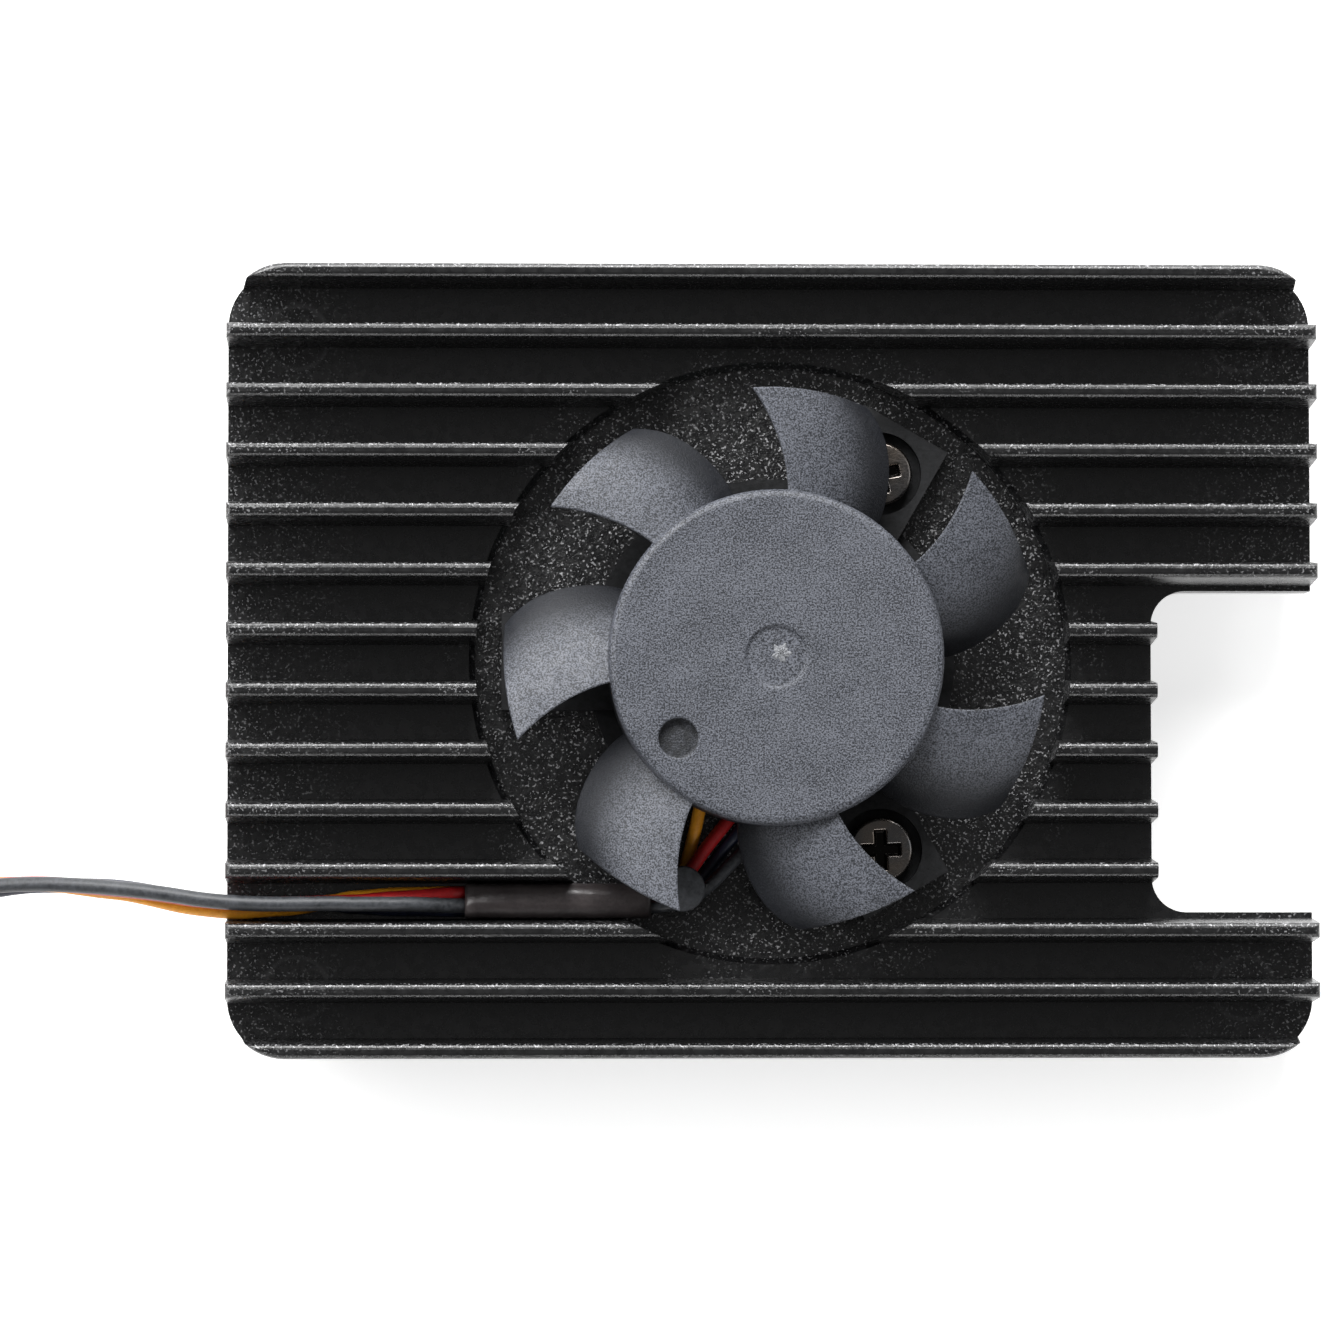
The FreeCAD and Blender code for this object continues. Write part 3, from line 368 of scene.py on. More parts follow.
def moulded(name, dark, light, depth=0.00002, grain=5200.0, fleck=2600.0):
    """Spark-eroded moulded plastic: fine grain with faint mottling."""
    m = Recipe(name)
    mottle = m.noise(fleck, 3.0, 0.65)
    cloud = m.noise(300.0)
    tone = m.mixed(mottle, 0.8, cloud)
    height = m.noise(grain, 3.0, 0.6)
    m.wire(
        Base_Color=m.ramp(tone, (0.32, dark), (0.68, light)),
        Roughness=m.between(m.noise(1800.0), NOISE_LOW, NOISE_HIGH, 0.5, 0.62),
        Normal=m.bump(height, depth, 0.8),
    )
    return m.material


def brushed(name, dark, light, upright=12):
    """Metal with fine drawn or turned marks, finer by this much along Z."""
    m = Recipe(name, Metallic=1.0)
    lines = m.noise(2600.0, 3.0, 0.6, m.stretched((1, 1, upright)))
    stain = m.noise(700.0, 3.0, 0.6)
    tone = m.mixed(lines, 0.45, stain)
    m.wire(
        Base_Color=m.ramp(tone, (0.3, dark), (0.7, light)),
        Roughness=m.between(stain, NOISE_LOW, NOISE_HIGH, 0.25, 0.42),
        Normal=m.bump(lines, 0.000012, 0.5),
    )
    return m.material


def insulation(name, dark, light):
    """Extruded wire insulation: satin, with a faint colour change and fine scuffs."""
    m = Recipe(name)
    cloud = m.noise(900.0, 3.0, 0.6)
    scuff = m.noise(5200.0, 3.0, 0.65)
    tone = m.mixed(cloud, 0.4, scuff)
    m.wire(
        Base_Color=m.ramp(tone, (0.36, dark), (0.64, light)),
        Roughness=m.between(scuff, NOISE_LOW, NOISE_HIGH, 0.38, 0.5),
        Normal=m.bump(scuff, 0.000014, 0.6),
    )
    return m.material


def silicone_pad():
    """Soft gray-blue thermal pad with a woven liner's print and ceramic specks."""
    m = Recipe("silicone_pad")
    speck = m.cells(3800.0)
    weave = m.weave(1500.0)
    cloud = m.noise(500.0, 3.0, 0.6)
    m.wire(
        Base_Color=m.ramp(cloud, (0.3, (0.16, 0.2, 0.24)), (0.7, (0.22, 0.26, 0.3))),
        Roughness=m.between(speck, 0.0, 0.6, 0.62, 0.8),
        Normal=m.bump(weave, 0.00003, 0.6, m.bump(speck, 0.00002, 0.6)),
    )
    return m.material


def board_laminate():
    """Green solder mask, raised over tracks, on glass cloth."""
    m = Recipe("green_solder_mask", Coat_Weight=0.35, Coat_Roughness=0.15)
    tracks = m.cells(900.0, feature="DISTANCE_TO_EDGE")
    mask = m.between(tracks, 0.05, 0.09)
    weave = m.weave(1800.0)
    tone = m.maths("ADD", m.times(mask, 0.7), m.times(weave, 0.2))
    m.wire(
        Base_Color=m.ramp(tone, (0.1, (0.006, 0.035, 0.018)), (0.8, (0.012, 0.07, 0.034))),
        Roughness=m.between(weave, 0.0, 1.0, 0.35, 0.45),
        Normal=m.bump(mask, 0.00002, 0.6),
    )
    return m.material


def winding():
    """Copper windings: the turns lie one above the other."""
    m = Recipe("enamelled_winding", Metallic=1.0, Coat_Weight=0.6, Coat_Roughness=0.2)
    turns = m.wave(2600.0, "Z", 0.6)
    tone = m.noise(1600.0, 3.0, 0.6)
    m.wire(
        Base_Color=m.ramp(tone, (0.3, (0.42, 0.13, 0.05)), (0.7, (0.66, 0.25, 0.1))),
        Roughness=m.between(turns, 0.0, 1.0, 0.4, 0.28),
        Normal=m.bump(turns, 0.00006, 0.9),
    )
    return m.material


def lamination():
    """A stack of thin electrical steel sheets."""
    m = Recipe("stacked_steel", Metallic=1.0)
    sheets = m.wave(1200.0, "Z", 0.2)
    stain = m.noise(900.0, 3.0, 0.6)
    m.wire(
        Base_Color=m.ramp(stain, (0.3, (0.22, 0.22, 0.24)), (0.7, (0.4, 0.4, 0.42))),
        Roughness=m.between(sheets, 0.0, 1.0, 0.5, 0.34),
        Normal=m.bump(sheets, 0.00004, 0.8),
    )
    return m.material


def sintered():
    """Porous bronze."""
    m = Recipe("sintered_bronze", Metallic=1.0)
    pores = m.cells(9000.0)
    tone = m.noise(2400.0, 3.0)
    m.wire(
        Base_Color=m.ramp(tone, (0.3, (0.24, 0.14, 0.07)), (0.7, (0.42, 0.27, 0.14))),
        Roughness=m.between(pores, 0.0, 0.6, 0.6, 0.4),
        Normal=m.bump(pores, 0.00003, 0.8),
    )
    return m.material


def floor_paper():
    """White studio paper, which gives off a little light so that it stays white in shade."""
    m = Recipe(
        "studio_paper",
        Specular_IOR_Level=0.1,
        Emission_Color=(1.0, 1.0, 1.0, 1.0),
        Emission_Strength=0.62,
    )
    fibre = m.noise(900.0, 4.0, 0.6)
    m.wire(
        Base_Color=m.ramp(fibre, (0.2, (0.9, 0.9, 0.9)), (0.8, (0.93, 0.93, 0.93))),
        Roughness=m.between(fibre, 0.2, 0.8, 0.85, 0.95),
    )
    return m.material


MATERIALS = {
    "black_aluminium": powder_coat(),
    "nickel_brass": brushed("nickel_plate", (0.5, 0.48, 0.43), (0.7, 0.68, 0.62), 6),
    "thermal_pad": silicone_pad(),
    "fan_plastic": base_plastic(),
    "impeller_plastic": slate_plastic(),
    "screw_steel": screw_steel(),
    "brass": brushed("turned_brass", (0.5, 0.34, 0.12), (0.75, 0.56, 0.24), 8),
    "sintered_bronze": sintered(),
    "nylon": moulded("natural_nylon", (0.5, 0.49, 0.45), (0.66, 0.65, 0.6), 0.00001),
    "silicon_steel": lamination(),
    "copper_wire": winding(),
    "circuit_board": board_laminate(),
    "chip_black": moulded(
        "moulded_epoxy", (0.012, 0.012, 0.012), (0.022, 0.022, 0.023), 0.00001
    ),
    "capacitor_ceramic": moulded(
        "ceramic_body", (0.3, 0.2, 0.1), (0.45, 0.32, 0.18), 0.000006
    ),
    "solder": brushed("bright_solder", (0.5, 0.5, 0.52), (0.75, 0.75, 0.77), 1),
    "magnet": moulded("bonded_ferrite", (0.02, 0.02, 0.022), (0.04, 0.04, 0.044)),
    "wire_yellow": insulation("yellow_insulation", (0.74, 0.285, 0.013), (0.93, 0.4, 0.022)),
    "wire_red": insulation("red_insulation", (0.34, 0.008, 0.01), (0.5, 0.014, 0.016)),
    "wire_blue": insulation("blue_insulation", (0.01, 0.013, 0.03), (0.016, 0.021, 0.05)),
    "wire_black": insulation("black_insulation", (0.018, 0.02, 0.023), (0.062, 0.066, 0.074)),
    "heat_shrink": shrink_tube(),
    "tie_nylon": moulded("tie_plastic", (0.34, 0.33, 0.3), (0.44, 0.43, 0.4), 0.000008),
    "connector_nylon": moulded(
        "plug_plastic", (0.38, 0.355, 0.28), (0.48, 0.45, 0.37), 0.000008
    ),
    "contact_metal": brushed("tin_plate", (0.5, 0.49, 0.46), (0.72, 0.71, 0.68)),
}


# ---------------------------------------------------------------- mesh helpers
UP = Vector((0, 0, 1))
STRAND_SIDES = 14


def new_piece(name, slot, data, body="cooler", replaced=(), slots=None):
    """A piece that rides on a body, takes a record slot and stands for CAD nodes."""
    piece = bpy.data.objects.new(name, data)
    bpy.context.scene.collection.objects.link(piece)
    for key in slots or (slot,):
        piece.data.materials.append(MATERIALS[key])
    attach(piece, body)
    if replaced:
        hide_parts(*replaced)
    return piece


def mesh_from(name, vertices, faces, face_slots=None, shaded_smooth=True):
    mesh = bpy.data.meshes.new(name)
    mesh.from_pydata([tuple(v) for v in vertices], [], faces)
    mesh.validate()
    if face_slots:
        mesh.polygons.foreach_set("material_index", face_slots)
    mesh.polygons.foreach_set("use_smooth", [shaded_smooth] * len(mesh.polygons))
    mesh.update()
    return mesh


def smooth(t):
    """Eases a share from 0 to 1."""
    return t * t * (3 - 2 * t)


def nurbs_points(name, points, steps):
    """The points of a smooth NURBS line that has these control points."""
    curve = bpy.data.curves.new(name, "CURVE")
    curve.dimensions = "3D"
    curve.resolution_u = steps
    spline = curve.splines.new("NURBS")
    spline.points.add(len(points) - 1)
    for point, place in zip(spline.points, points):
        point.co = (*place, 1.0)
    spline.order_u = 3
    spline.use_endpoint_u = True
    holder = bpy.data.objects.new(name, curve)
    bpy.context.scene.collection.objects.link(holder)
    bpy.context.view_layer.update()
    shape = bpy.data.meshes.new_from_object(
        holder.evaluated_get(bpy.context.evaluated_depsgraph_get())
    )
    found = [v.co.copy() for v in shape.vertices]
    bpy.data.meshes.remove(shape)
    bpy.data.objects.remove(holder)
    bpy.data.curves.remove(curve)
    return found


def add_tube(line, radius, vertices, faces):
    """Adds a closed round tube along a line of points to vertices and faces."""
    count, sides = len(line), STRAND_SIDES
    first = len(vertices)
    tangent = (line[1] - line[0]).normalized()
    side = tangent.cross(UP).normalized()
    for i, place in enumerate(line):
        ahead = line[min(i + 1, count - 1)] - line[max(i - 1, 0)]
        tangent = ahead.normalized()
        side = (side - tangent * side.dot(tangent)).normalized()
        other = tangent.cross(side)
        for k in range(sides):
            angle = math.tau * k / sides
            vertices.append(place + (side * math.cos(angle) + other * math.sin(angle)) * radius)
    for i in range(count - 1):
        for k in range(sides):
            a, b = first + i * sides + k, first + i * sides + (k + 1) % sides
            faces.append((a, b, b + sides, a + sides))
    faces.append(tuple(first + k for k in reversed(range(sides))))
    faces.append(tuple(first + (count - 1) * sides + k for k in range(sides)))


def strands_mesh(name, lines, radius):
    """One mesh of round strands, each with the material slot of its place in lines."""
    vertices, faces, face_slots = [], [], []
    for index, line in enumerate(lines):
        before = len(faces)
        add_tube(line, radius, vertices, faces)
        face_slots += [index] * (len(faces) - before)
    return mesh_from(name, vertices, faces, face_slots)


def skin(rings, closed=False):
    """A mesh through rings of equally many points, its two ends filled unless it is closed."""
    sides, count = len(rings[0]), len(rings)
    vertices = [point for ring in rings for point in ring]
    faces = []
    for i in range(count if closed else count - 1):
        here, there = i * sides, (i + 1) % count * sides
        for k in range(sides):
            following = (k + 1) % sides
            faces.append((here + k, here + following, there + following, there + k))
    if not closed:
        faces.append(tuple(reversed(range(sides))))
        faces.append(tuple((count - 1) * sides + k for k in range(sides)))
    return vertices, faces


def eased(table, at):
    """A value from (place, value...) rows, eased between them."""
    if at <= table[0][0]:
        return table[0][1:]
    for low, high in zip(table, table[1:]):
        if at <= high[0]:
            share = smooth((at - low[0]) / (high[0] - low[0]))
            return tuple(a + (b - a) * share for a, b in zip(low[1:], high[1:]))
    return table[-1][1:]


def rounded_block(low, high, ease):
    """A block between two corners with rounded edges, as a bmesh."""
    block = bmesh.new()
    bmesh.ops.create_cube(block, size=1.0)
    size, middle = Vector(high) - Vector(low), (Vector(high) + Vector(low)) / 2
    for vertex in block.verts:
        vertex.co = Vector([c * s for c, s in zip(vertex.co, size)]) + middle
    bmesh.ops.bevel(
        block, geom=block.edges[:], offset=ease, segments=3, profile=0.5, affect="EDGES"
    )
    return block


def soften(node, width):
    """Rounds a carried-over node's sharp edges a little."""
    bevel = nodes[node].modifiers.new("eased_edges", "BEVEL")
    bevel.width, bevel.segments = width, 3
    bevel.limit_method, bevel.angle_limit = "ANGLE", math.radians(38)
    bevel.use_clamp_overlap = True


# ---------------------------------------------------------------- cable
STRAND_RADIUS = 0.00038
CABLE_STEPS = 12
EXIT = (-0.0155, -0.012075, 0.00584)
ROUTE = [
    EXIT,
    (-0.0205, -0.01212, 0.00632),
    (-0.0270, -0.01232, 0.00655),
    (-0.0322, -0.01143, 0.00575),
    (-0.0388, -0.01108, 0.0039),
    (-0.0442, -0.0122, 0.0019),
    (-0.0495, -0.0131, 0.00088),
]
COIL_CENTRE = (-0.0525, -0.0029)
COIL_STEPS = 16
COIL_TURNS = 2.25
COIL_START = -90.0
# Turns done so far, radius and height of the coil's control points.
COIL_LAY = [
    (0.0, 0.0103, 0.00089),
    (0.25, 0.0100, 0.00089),
    (0.75, 0.0087, 0.00089),
    (1.0, 0.0085, 0.00089),
    (1.22, 0.0085, 0.0010),
    (1.5, 0.0088, 0.00252),
    (1.75, 0.0087, 0.00256),
    (2.0, 0.0091, 0.00250),
    (2.25, 0.0093, 0.00245),
]
TAIL = [
    (-0.0619, -0.0005, 0.00245),
    (-0.0617, 0.0030, 0.0022),
    (-0.0614, 0.0060, 0.00145),
    (-0.0614, 0.0080, 0.00145),
    (-0.0614, 0.0093, 0.00145),
]
STRANDS = ("yellow", "red", "blue", "black")
# Millimetres along the cable, then each strand's sideways and upward place in the bundle.
BUNDLE = [
    (0.0, (0.38, -0.57), (0.36, 0.14), (-0.42, -0.24), (-0.25, 0.50)),
    (3.3, (0.355, -0.38), (0.17, 0.33), (-0.36, -0.50), (-0.14, 0.98)),
    (5.6, (0.23, -0.37), (0.02, 0.35), (-0.20, -0.96), (-0.10, 1.07)),
    (6.8, (0.03, -0.37), (0.0, 0.36), (-0.02, -1.09), (-0.04, 1.09)),
    (9.0, (-0.22, -0.37), (0.0, 0.36), (0.0, -1.09), (-0.01, 1.09)),
    (12.0, (-0.45, -0.36), (0.0, 0.37), (0.0, -1.09), (0.0, 1.09)),
    (14.0, (-0.46, -0.36), (-0.05, 0.37), (-0.05, -1.09), (0.0, 1.09)),
    (18.0, (-0.20, -0.37), (-0.05, 0.36), (0.08, -1.08), (0.0, 1.09)),
    (22.0, (0.02, -0.37), (0.04, 0.36), (-0.05, -1.09), (0.0, 1.09)),
    (26.0, (0.20, -0.37), (0.06, 0.36), (-0.25, -0.95), (0.0, 1.06)),
    (31.0, (0.40, -0.36), (0.33, 0.36), (-0.36, -0.40), (-0.39, 0.33)),
    (34.0, (0.37, -0.37), (0.36, 0.36), (-0.36, -0.36), (-0.36, 0.37)),
]
# Millimetres too: the twist's start and pitch, its unwinding before the plug, and the
# last stretch, where the strands spread to the plug's pins.
TWIST_FROM, TWIST_LENGTH = 34.0, 46.0
UNWIND_LENGTH, COMB_LENGTH = 14.0, 5.0
PIN_ROW, PIN_PITCH = ("black", "red", "yellow", "blue"), 1.25


def coil_points():
    points = []
    for i in range(int(COIL_TURNS * COIL_STEPS) + 1):
        turns = i / COIL_STEPS
        radius, height = eased(COIL_LAY, turns)
        angle = math.radians(COIL_START) - math.tau * turns
        x = COIL_CENTRE[0] + radius * math.cos(angle)
        y = COIL_CENTRE[1] + radius * math.sin(angle)
        points.append((x, y, height))
    return points


def bundle_place(strand, along, total):
    """Sideways and upward place of a strand, in millimetres, this far along the cable."""
    rows = [(row[0], *row[1 + strand]) for row in BUNDLE]
    aside, above = eased(rows, along)
    to_go = total - along
    twisted = max(0.0, min(along, total - UNWIND_LENGTH) - TWIST_FROM)
    turned = twisted / TWIST_LENGTH * math.tau
    if to_go < UNWIND_LENGTH:
        left_over = turned - math.tau * round(turned / math.tau)
        turned = left_over * smooth(to_go / UNWIND_LENGTH)
    cosine, sine = math.cos(turned), math.sin(turned)
    aside, above = aside * cosine - above * sine, aside * sine + above * cosine
    if to_go < COMB_LENGTH:
        combed = smooth(1 - to_go / COMB_LENGTH)
        pin = PIN_ROW.index(STRANDS[strand]) - (len(PIN_ROW) - 1) / 2
        aside = aside * (1 - combed) + pin * PIN_PITCH * combed
        above = above * (1 - combed)
    return aside, above


def make_cable(plug_pieces):
    """The free cable: four strands along the NURBS line of its route."""
    line = nurbs_points("cable_route", ROUTE + coil_points() + TAIL, CABLE_STEPS)
    along = [0.0]
    for a, b in zip(line, line[1:]):
        along.append(along[-1] + (b - a).length * 1000)
    paths = []
    for strand in range(len(STRANDS)):
        path = []
        for i, place in enumerate(line):
            ahead = (line[min(i + 1, len(line) - 1)] - line[max(i - 1, 0)]).normalized()
            right = ahead.cross(UP).normalized()
            up = right.cross(ahead)
            aside, above = bundle_place(strand, along[i], along[-1])
            path.append(place + (right * aside + up * above) * 0.001)
        paths.append(path)
    cable = new_piece(
        "cable_wires",
        "wire_black",
        strands_mesh("cable_wires", paths, STRAND_RADIUS),
        replaced=("fan_cable", "fan_cable_coil", "fan_cable_tail"),
        slots=["wire_" + colour for colour in STRANDS],
    )


TIE_WIDTH, TIE_THICK, TIE_TURN, TIE_TURN_STEPS = 0.0016, 0.00035, 0.0006, 8
TIE_EDGE, TIE_TOOTH, TIE_TOOTH_DEPTH = 0.00008, 0.00017, 0.00005
TIE_HEAD_TALL, TIE_HEAD_HALF, TIE_HEAD_SUNK, TIE_HEAD_EASE = 0.001, 0.00095, 0.00005, 0.00022
# The cut tail's block, from the tie's middle and the strap's top, and its rounding.
TIE_TAIL = ((-0.0007, 0.0006, 0.00035), (0.0007, 0.00145, 0.00068))
TIE_TAIL_EASE = 0.0001


def make_tie():
    """A strap with a fine ladder, drawn round the coil's bundle, its head and cut tail on top."""
    low, high = (Vector(corner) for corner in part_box("cable_tie"))
    x = (low.x + high.x) / 2
    band_top = high.z - TIE_HEAD_TALL
    y_low, y_high, z_low = low.y + TIE_THICK, high.y - TIE_THICK, low.z + TIE_THICK
    z_high = band_top - TIE_THICK
    corners = (
        (y_high - TIE_TURN, z_high - TIE_TURN, 0),
        (y_low + TIE_TURN, z_high - TIE_TURN, 90),
        (y_low + TIE_TURN, z_low + TIE_TURN, 180),
        (y_high - TIE_TURN, z_low + TIE_TURN, 270),
    )
    path = []
    for y, z, start in corners:
        for step in range(TIE_TURN_STEPS + 1):
            angle = math.radians(start + step * 90 / TIE_TURN_STEPS)
            ray = Vector((0, math.cos(angle), math.sin(angle)))
            path.append((Vector((x, y, z)) + ray * TIE_TURN, ray))
    filled = []
    for (place, ray), (following, next_ray) in zip(path, path[1:] + path[:1]):
        pieces = max(1, round((following - place).length / TIE_TOOTH))
        for step in range(pieces):
            share = step / pieces
            filled.append((place.lerp(following, share), ray.lerp(next_ray, share).normalized()))
    half, edge = TIE_WIDTH / 2, TIE_EDGE
    rings = []
    for index, (place, ray) in enumerate(filled):
        thick = TIE_THICK - (TIE_TOOTH_DEPTH if index % 2 else 0.0)
        right_side = [
            (half - edge, 0.0),
            (half, edge),
            (half, TIE_THICK - edge * 1.6),
            (half - edge, TIE_THICK - edge),
            (half - 2.5 * edge, thick),
        ]
        left_side = [(-aside, out) for aside, out in reversed(right_side)]
        section = left_side[-1:] + right_side + left_side[:-1]
        rings.append([place + Vector((aside, 0, 0)) + ray * out for aside, out in section])
    vertices, faces = skin(rings, closed=True)
    mesh = mesh_from("tie_strap", vertices, faces, shaded_smooth=False)
    made = [new_piece("tie_strap", "tie_nylon", mesh, replaced=("cable_tie",))]

    middle_y = (low.y + high.y) / 2
    head = rounded_block(
        (low.x, middle_y - TIE_HEAD_HALF, band_top - TIE_HEAD_SUNK),
        (high.x, middle_y + TIE_HEAD_HALF, high.z),
        TIE_HEAD_EASE,
    )
    origin = Vector((x, middle_y, band_top))
    tail = rounded_block(*(origin + Vector(corner) for corner in TIE_TAIL), TIE_TAIL_EASE)
    for name, block in (("tie_head", head), ("tie_tail", tail)):
        mesh = bpy.data.meshes.new(name)
        block.to_mesh(mesh)
        block.free()
        mesh.polygons.foreach_set("use_smooth", [True] * len(mesh.polygons))
        piece = new_piece(name, "tie_nylon", mesh)
        piece.modifiers.new("even_shading", "WEIGHTED_NORMAL")
        made.append(piece)
    return made


make_camera()
make_cable([nodes["connector_housing"], nodes["connector_contacts"], *make_tie()])

# ---------------------------------------------------------------- CAD nodes
node_slots = {part["node"]: part["material_slot"] for part in frame["record"]["subparts"]}
for name, node in nodes.items():
    node.data.materials.clear()
    node.data.materials.append(MATERIALS[node_slots[name]])

# ---------------------------------------------------------------- fan details
HEAD_RADIUS, HEAD_HEIGHT = 0.00162, 0.00085
HEAD_FLAT, HEAD_DOME = HEAD_RADIUS - 0.00013, 0.00004
# The head's rounded edge: places in from its side and down from its crown.
HEAD_EDGE = ((0.00004, 0.00009), (0.0, 0.0002))
HEAD_SIDES, HEAD_RINGS = 96, 30
SHANK_RADIUS, SHANK_TIP = 0.0008, 0.00055
THREAD_DEPTH, THREAD_PITCH = 0.00012, 0.0004
# The thread starts this far below the head and leaves this much of the tip free.
THREAD_START, THREAD_END = 0.0001, 0.0003
RECESS_ARM, RECESS_HALF, RECESS_WALL, RECESS_DEPTH = 0.00104, 0.00033, 0.00011, 0.0005
# Each screw's angle about the fan's axis, and how its cross recess is turned.
HEADS = ((60.0, 12.0), (300.0, 2.0), (180.0, 33.0))


def recess_share(x, y):
    """How deep the cross recess is at a place on a screw head, from 0 to 1."""
    x, y = abs(x), abs(y)
    inside = max(min(RECESS_ARM - x, RECESS_HALF - y), min(RECESS_ARM - y, RECESS_HALF - x))
    return smooth(max(0.0, min(1.0, inside / RECESS_WALL)))


def screw_rings(crown, tip):
    """Rings of one screw about its own axis, from the middle of its head down to its tip."""
    angles = [math.tau * k / HEAD_SIDES for k in range(HEAD_SIDES)]
    rings = []
    for i in range(1, HEAD_RINGS + 1):
        radius = HEAD_FLAT * i / HEAD_RINGS
        dome = HEAD_DOME * (radius / HEAD_RADIUS) ** 4
        ring = []
        for angle in angles:
            x, y = radius * math.cos(angle), radius * math.sin(angle)
            ring.append((x, y, crown - dome - RECESS_DEPTH * recess_share(x, y)))
        rings.append(ring)
    seat = crown - HEAD_HEIGHT
    profile = [(HEAD_RADIUS - inward, crown - down) for inward, down in HEAD_EDGE]
    profile += [(HEAD_RADIUS, seat), (SHANK_RADIUS, seat)]
    for turn in range(int((seat - tip - THREAD_END) / THREAD_PITCH)):
        level = seat - THREAD_START - turn * THREAD_PITCH
        profile.append((SHANK_RADIUS, level))
        profile.append((SHANK_RADIUS - THREAD_DEPTH, level - THREAD_PITCH / 2))
    profile.append((SHANK_TIP, tip))
    for radius, level in profile:
        rings.append([(radius * math.cos(t), radius * math.sin(t), level) for t in angles])
    return rings


def make_screws():
    """The three screws, as one mesh."""
    low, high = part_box("base_screws")
    circle = -low[0] - HEAD_RADIUS
    vertices, faces = [], []
    for angle, turned in HEADS:
        centre = Matrix.Rotation(math.radians(angle), 4, "Z") @ Vector((circle, 0, 0))
        place = Matrix.Translation(centre) @ Matrix.Rotation(math.radians(turned), 4, "Z")
        points, loops = skin(screw_rings(high[2], low[2]))
        first = len(vertices)
        vertices += [place @ Vector(point) for point in points]
        faces += [tuple(first + k for k in loop) for loop in loops]
    mesh = mesh_from("screw_heads", vertices, faces)
    new_piece("screw_heads", "screw_steel", mesh, replaced=("base_screws",))


# The gate mark, from the hub's axis and top: its middle, size, depth, roughness and skirt.
GATE_AT, GATE_RADIUS, GATE_SUNK = (0.00023, 0.0002), 0.00044, 0.00012
GATE_LOW, GATE_ROUGH, GATE_BASE, GATE_SKIRT = 0.00002, 0.00008, 0.00001, 0.00003
GATE_RINGS, GATE_SIDES = 10, 60


def make_gate_mark():
    """The torn gate in the hub's dimple: a low rough star."""
    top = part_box("impeller")[1][2]
    rings = []
    for i in range(1, GATE_RINGS + 1):
        share = i / GATE_RINGS
        ring = []
        for k in range(GATE_SIDES):
            angle = math.tau * k / GATE_SIDES
            lobes = 1 + 0.2 * math.cos(5 * angle + 0.6) + 0.1 * math.cos(11 * angle)
            radius = GATE_RADIUS * share * lobes
            rough = 0.5 + 0.5 * math.sin(7 * angle + 9 * share) * math.cos(4 * angle - 14 * share)
            height = (GATE_LOW + GATE_ROUGH * rough) * (1 - share**3)
            x, y = GATE_AT[0] + radius * math.cos(angle), GATE_AT[1] + radius * math.sin(angle)
            ring.append((x, y, top - GATE_SUNK - GATE_BASE + height))
        rings.append(ring)
    rings.append([(x, y, z - GATE_SKIRT) for x, y, z in rings[-1]])
    mesh = mesh_from("gate_mark", *skin(rings))
    piece = new_piece("gate_mark", "impeller_plastic", mesh, body="rotor")
    piece.data.materials[0] = moulded(
        "torn_plastic", (0.05, 0.052, 0.057), (0.3, 0.31, 0.33), grain=9000.0, fleck=9000.0
    )


LEAD_RADIUS, LEAD_STEPS = 0.00033, 14
# Each lead's control points, in millimetres.
LEADS = {
    "yellow": [
        (-3.45, -6.4, 5.75), (-3.72, -7.9, 5.75), (-4.1, -9.5, 5.15),
        (-4.5, -10.85, 5.1), (-5.4, -11.74, 5.505), (-10.0, -11.74, 5.505),
        (-13.8, -11.73, 5.5), (-15.7, -11.695, 5.27),
    ],
    "red": [
        (-1.2, -6.8, 5.75), (-2.3, -8.15, 5.77), (-3.4, -9.5, 5.75),
        (-4.2, -10.7, 5.78), (-5.3, -11.74, 6.175), (-10.0, -11.74, 6.175),
        (-13.8, -11.74, 6.15), (-15.7, -11.715, 5.98),
    ],
    "blue": [
        (-0.25, -6.85, 5.75), (-1.45, -8.3, 5.7), (-2.7, -9.85, 5.1),
        (-3.7, -11.2, 5.05), (-5.15, -12.42, 5.505), (-10.0, -12.41, 5.505),
        (-13.8, -12.42, 5.52), (-15.7, -12.49, 5.6),
    ],
    "black": [
        (0.65, -6.9, 5.75), (-0.6, -8.65, 5.77), (-2.05, -10.2, 5.75),
        (-3.35, -11.55, 5.78), (-4.85, -12.41, 6.175), (-10.0, -12.41, 6.175),
        (-13.8, -12.4, 6.18), (-15.7, -12.325, 6.34),
    ],
}
SLEEVE_STEPS, SLEEVE_SIDES = 60, 48
SLEEVE_RADIUS, SLEEVE_WALL, SLEEVE_OFF_FLOOR = 0.00093, 0.00016, 0.00001
# How far it has drawn down on the leads along its length and over its cable end.
SLEEVE_TIGHT, SLEEVE_END = 0.45, 0.0016
# Its lip's height, place and width, and the thinning of its wall towards its ends.
LIP_TALL, LIP_AT, LIP_WIDE = 0.00005, 0.0004, 0.00025
THINNED, THIN_LENGTH = 0.00007, 0.00012
# Inside its mouths, where it meets the leads: how far in along X, and the wall there.
SLEEVE_MOUTHS = ((0.0006, 0.0), (0.0001, 0.00002))
# Its lumps: height, turns along X in radians per metre, and round it.
SLEEVE_LUMPS = ((0.000012, 3100, 2), (0.000008, 7100, 0))


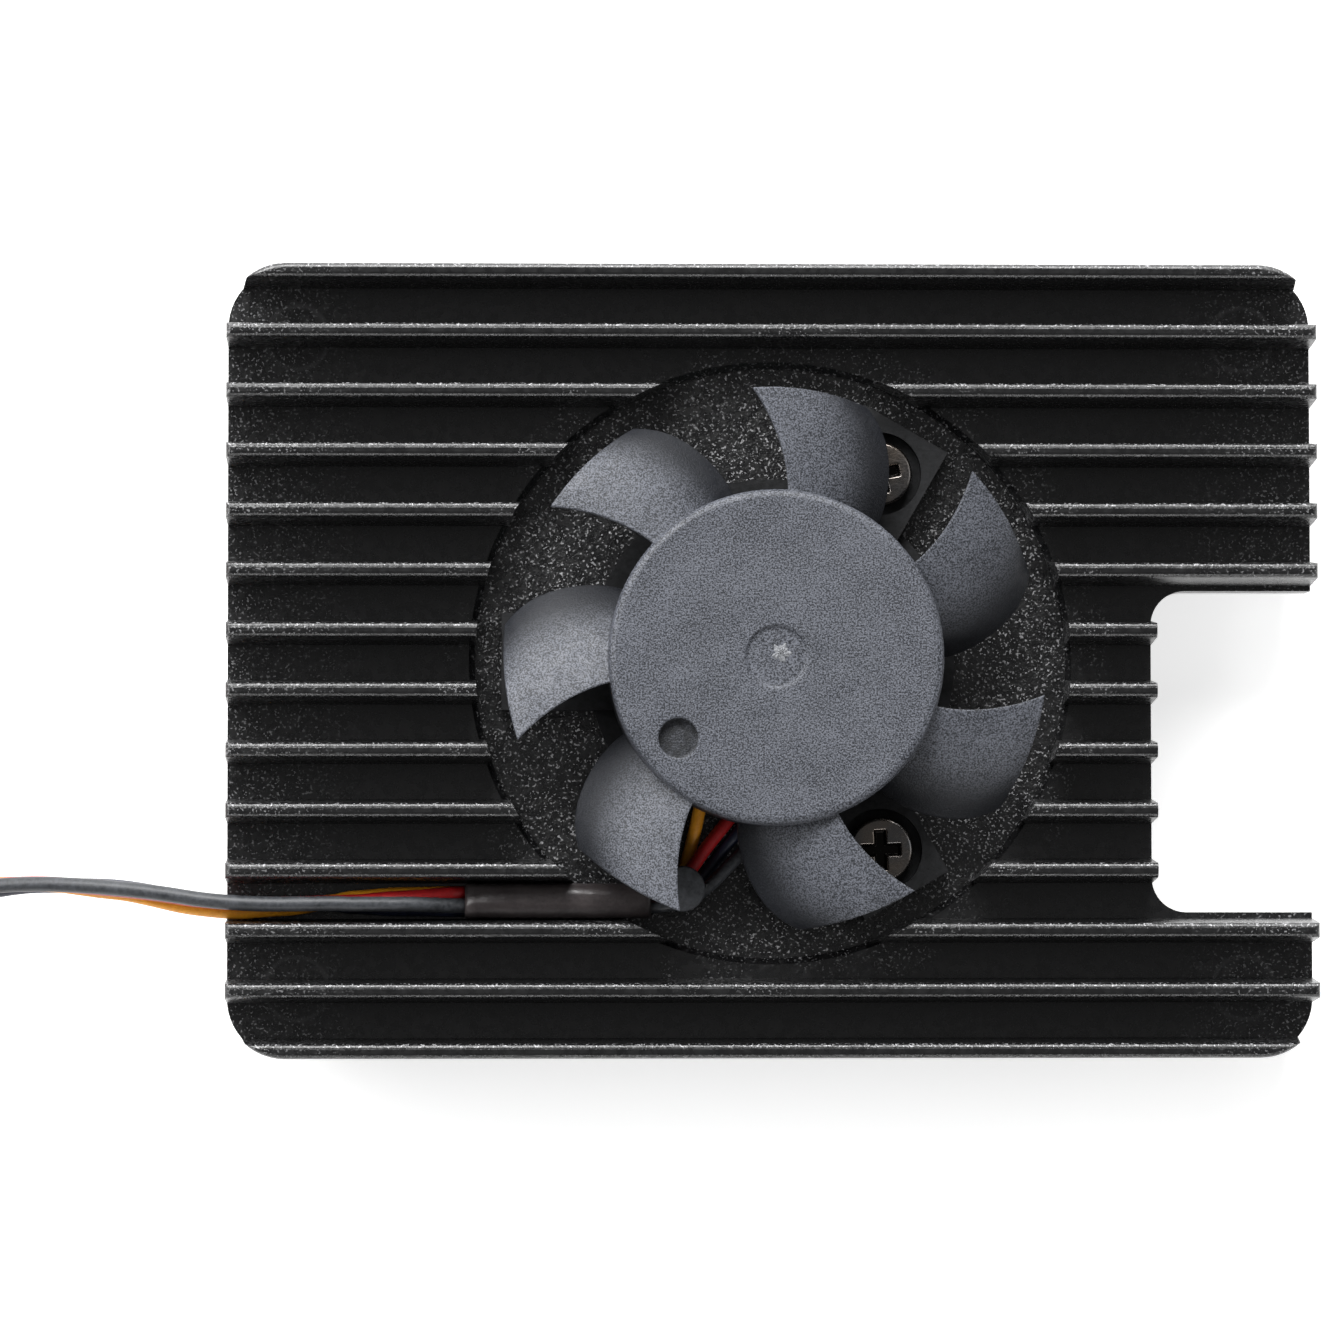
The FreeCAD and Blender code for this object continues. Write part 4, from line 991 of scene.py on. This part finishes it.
def make_leads():
    """The four leads from the fan's board through the sleeve, and the lines they follow."""
    lines = []
    for strand in STRANDS:
        points = [Vector(place) * 0.001 for place in LEADS[strand]]
        lines.append(nurbs_points("lead_route", points, LEAD_STEPS))
    new_piece(
        "lead_wires",
        "wire_black",
        strands_mesh("lead_wires", lines, LEAD_RADIUS),
        replaced=["lead_" + colour for colour in STRANDS],
        slots=["wire_" + colour for colour in STRANDS],
    )
    return lines


def crossing(line, x):
    """Where a line that runs towards -X reaches this x, as y and z."""
    for a, b in zip(reversed(line[:-1]), reversed(line[1:])):
        if b.x <= x <= a.x:
            return (a + (b - a) * ((x - a.x) / (b.x - a.x))).yz
    return line[-1].yz


def make_sleeve(lines):
    """The shrink tube, drawn down on the leads: a little lumpy, with lips and thinned ends."""
    low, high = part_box("heat_shrink_sleeve")
    floor = low[2]
    centre = Vector(((low[1] + high[1]) / 2, (low[2] + high[2]) / 2))

    def ring(x, wall, tight=1.0, along=0.0):
        wires = [crossing(line, x) for line in lines]
        made = []
        for k in range(SLEEVE_SIDES):
            angle = math.tau * k / SLEEVE_SIDES
            ray = Vector((math.cos(angle), math.sin(angle)))
            nearest = max(wires, key=lambda wire: wire.dot(ray))
            drawn = nearest + ray * (LEAD_RADIUS + wall)
            lump = sum(
                tall * math.sin(rate * along + lobes * angle)
                for tall, rate, lobes in SLEEVE_LUMPS
            )
            undrawn = centre + ray * (SLEEVE_RADIUS + lump)
            place = undrawn.lerp(drawn, tight)
            made.append((x, place.x, max(place.y, floor + SLEEVE_OFF_FLOOR)))
        return made

    x_from, x_to = high[0], low[0]
    rings = [ring(x_from - inward, wall) for inward, wall in SLEEVE_MOUTHS]
    for step in range(SLEEVE_STEPS + 1):
        x = x_from + (x_to - x_from) * (step / SLEEVE_STEPS)
        along = x_from - x
        to_end = min(along, x - x_to)
        at_cable = max(0.0, 1 - (x - x_to) / SLEEVE_END)
        wall = SLEEVE_WALL - THINNED * max(0.0, 1 - to_end / THIN_LENGTH)
        lip = LIP_TALL * math.exp(-(((to_end - LIP_AT) / LIP_WIDE) ** 2))
        tight = SLEEVE_TIGHT + (1 - SLEEVE_TIGHT) * at_cable
        rings.append(ring(x, wall + lip, tight, along))
    rings += [ring(x_to + inward, wall) for inward, wall in reversed(SLEEVE_MOUTHS)]
    vertices, faces = skin(rings)
    # Its two ends stay open round the leads.
    mesh = mesh_from("sleeve", vertices, faces[:-2])
    new_piece("sleeve", "heat_shrink", mesh, replaced=("heat_shrink_sleeve",))


make_screws()
make_gate_mark()
make_sleeve(make_leads())
soften("connector_housing", 0.00015)

# ---------------------------------------------------------------- studio
FLOOR_SIDE, FLOOR_HEIGHT = 6.0, -0.0001
WORLD_STRENGTH = 0.1
# Name, place and size in metres, and power in watts.
LIGHTS = (
    ("key_light", (-0.25, 1.0, 0.95), (1.2, 0.6), 27.5),
    ("low_back_light", (0.0, 1.3, 0.4), (1.8, 0.5), 11.0),
    ("left_light", (-1.0, 0.35, 0.8), (0.8, 0.8), 10.5),
    ("right_light", (1.1, 0.2, 0.8), (0.8, 0.8), 1.8),
    ("front_light", (0.1, -1.1, 0.7), (1.2, 0.25), 4.0),
)


def make_floor():
    half = FLOOR_SIDE / 2
    corners = [(-half, -half, 0), (half, -half, 0), (half, half, 0), (-half, half, 0)]
    mesh = mesh_from("studio_floor", corners, [(0, 1, 2, 3)])
    floor = bpy.data.objects.new("studio_floor", mesh)
    bpy.context.scene.collection.objects.link(floor)
    floor.location.z = FLOOR_HEIGHT
    mesh.materials.append(floor_paper())


def soft_light(name, place, size, power):
    """An area light that faces the object."""
    data = bpy.data.lights.new(name, "AREA")
    data.shape = "RECTANGLE"
    data.size, data.size_y = size
    data.energy = power
    light = bpy.data.objects.new(name, data)
    bpy.context.scene.collection.objects.link(light)
    light.location = place
    light.rotation_euler = (-Vector(place)).to_track_quat("-Z", "Y").to_euler()


def make_studio():
    make_floor()
    for light in LIGHTS:
        soft_light(*light)
    world = bpy.data.worlds.new("studio_world")
    world.use_nodes = True
    background = world.node_tree.nodes["Background"]
    background.inputs["Color"].default_value = (1.0, 1.0, 1.0, 1.0)
    background.inputs["Strength"].default_value = WORLD_STRENGTH
    bpy.context.scene.world = world
    bpy.context.scene.view_settings.view_transform = "Standard"


make_studio()
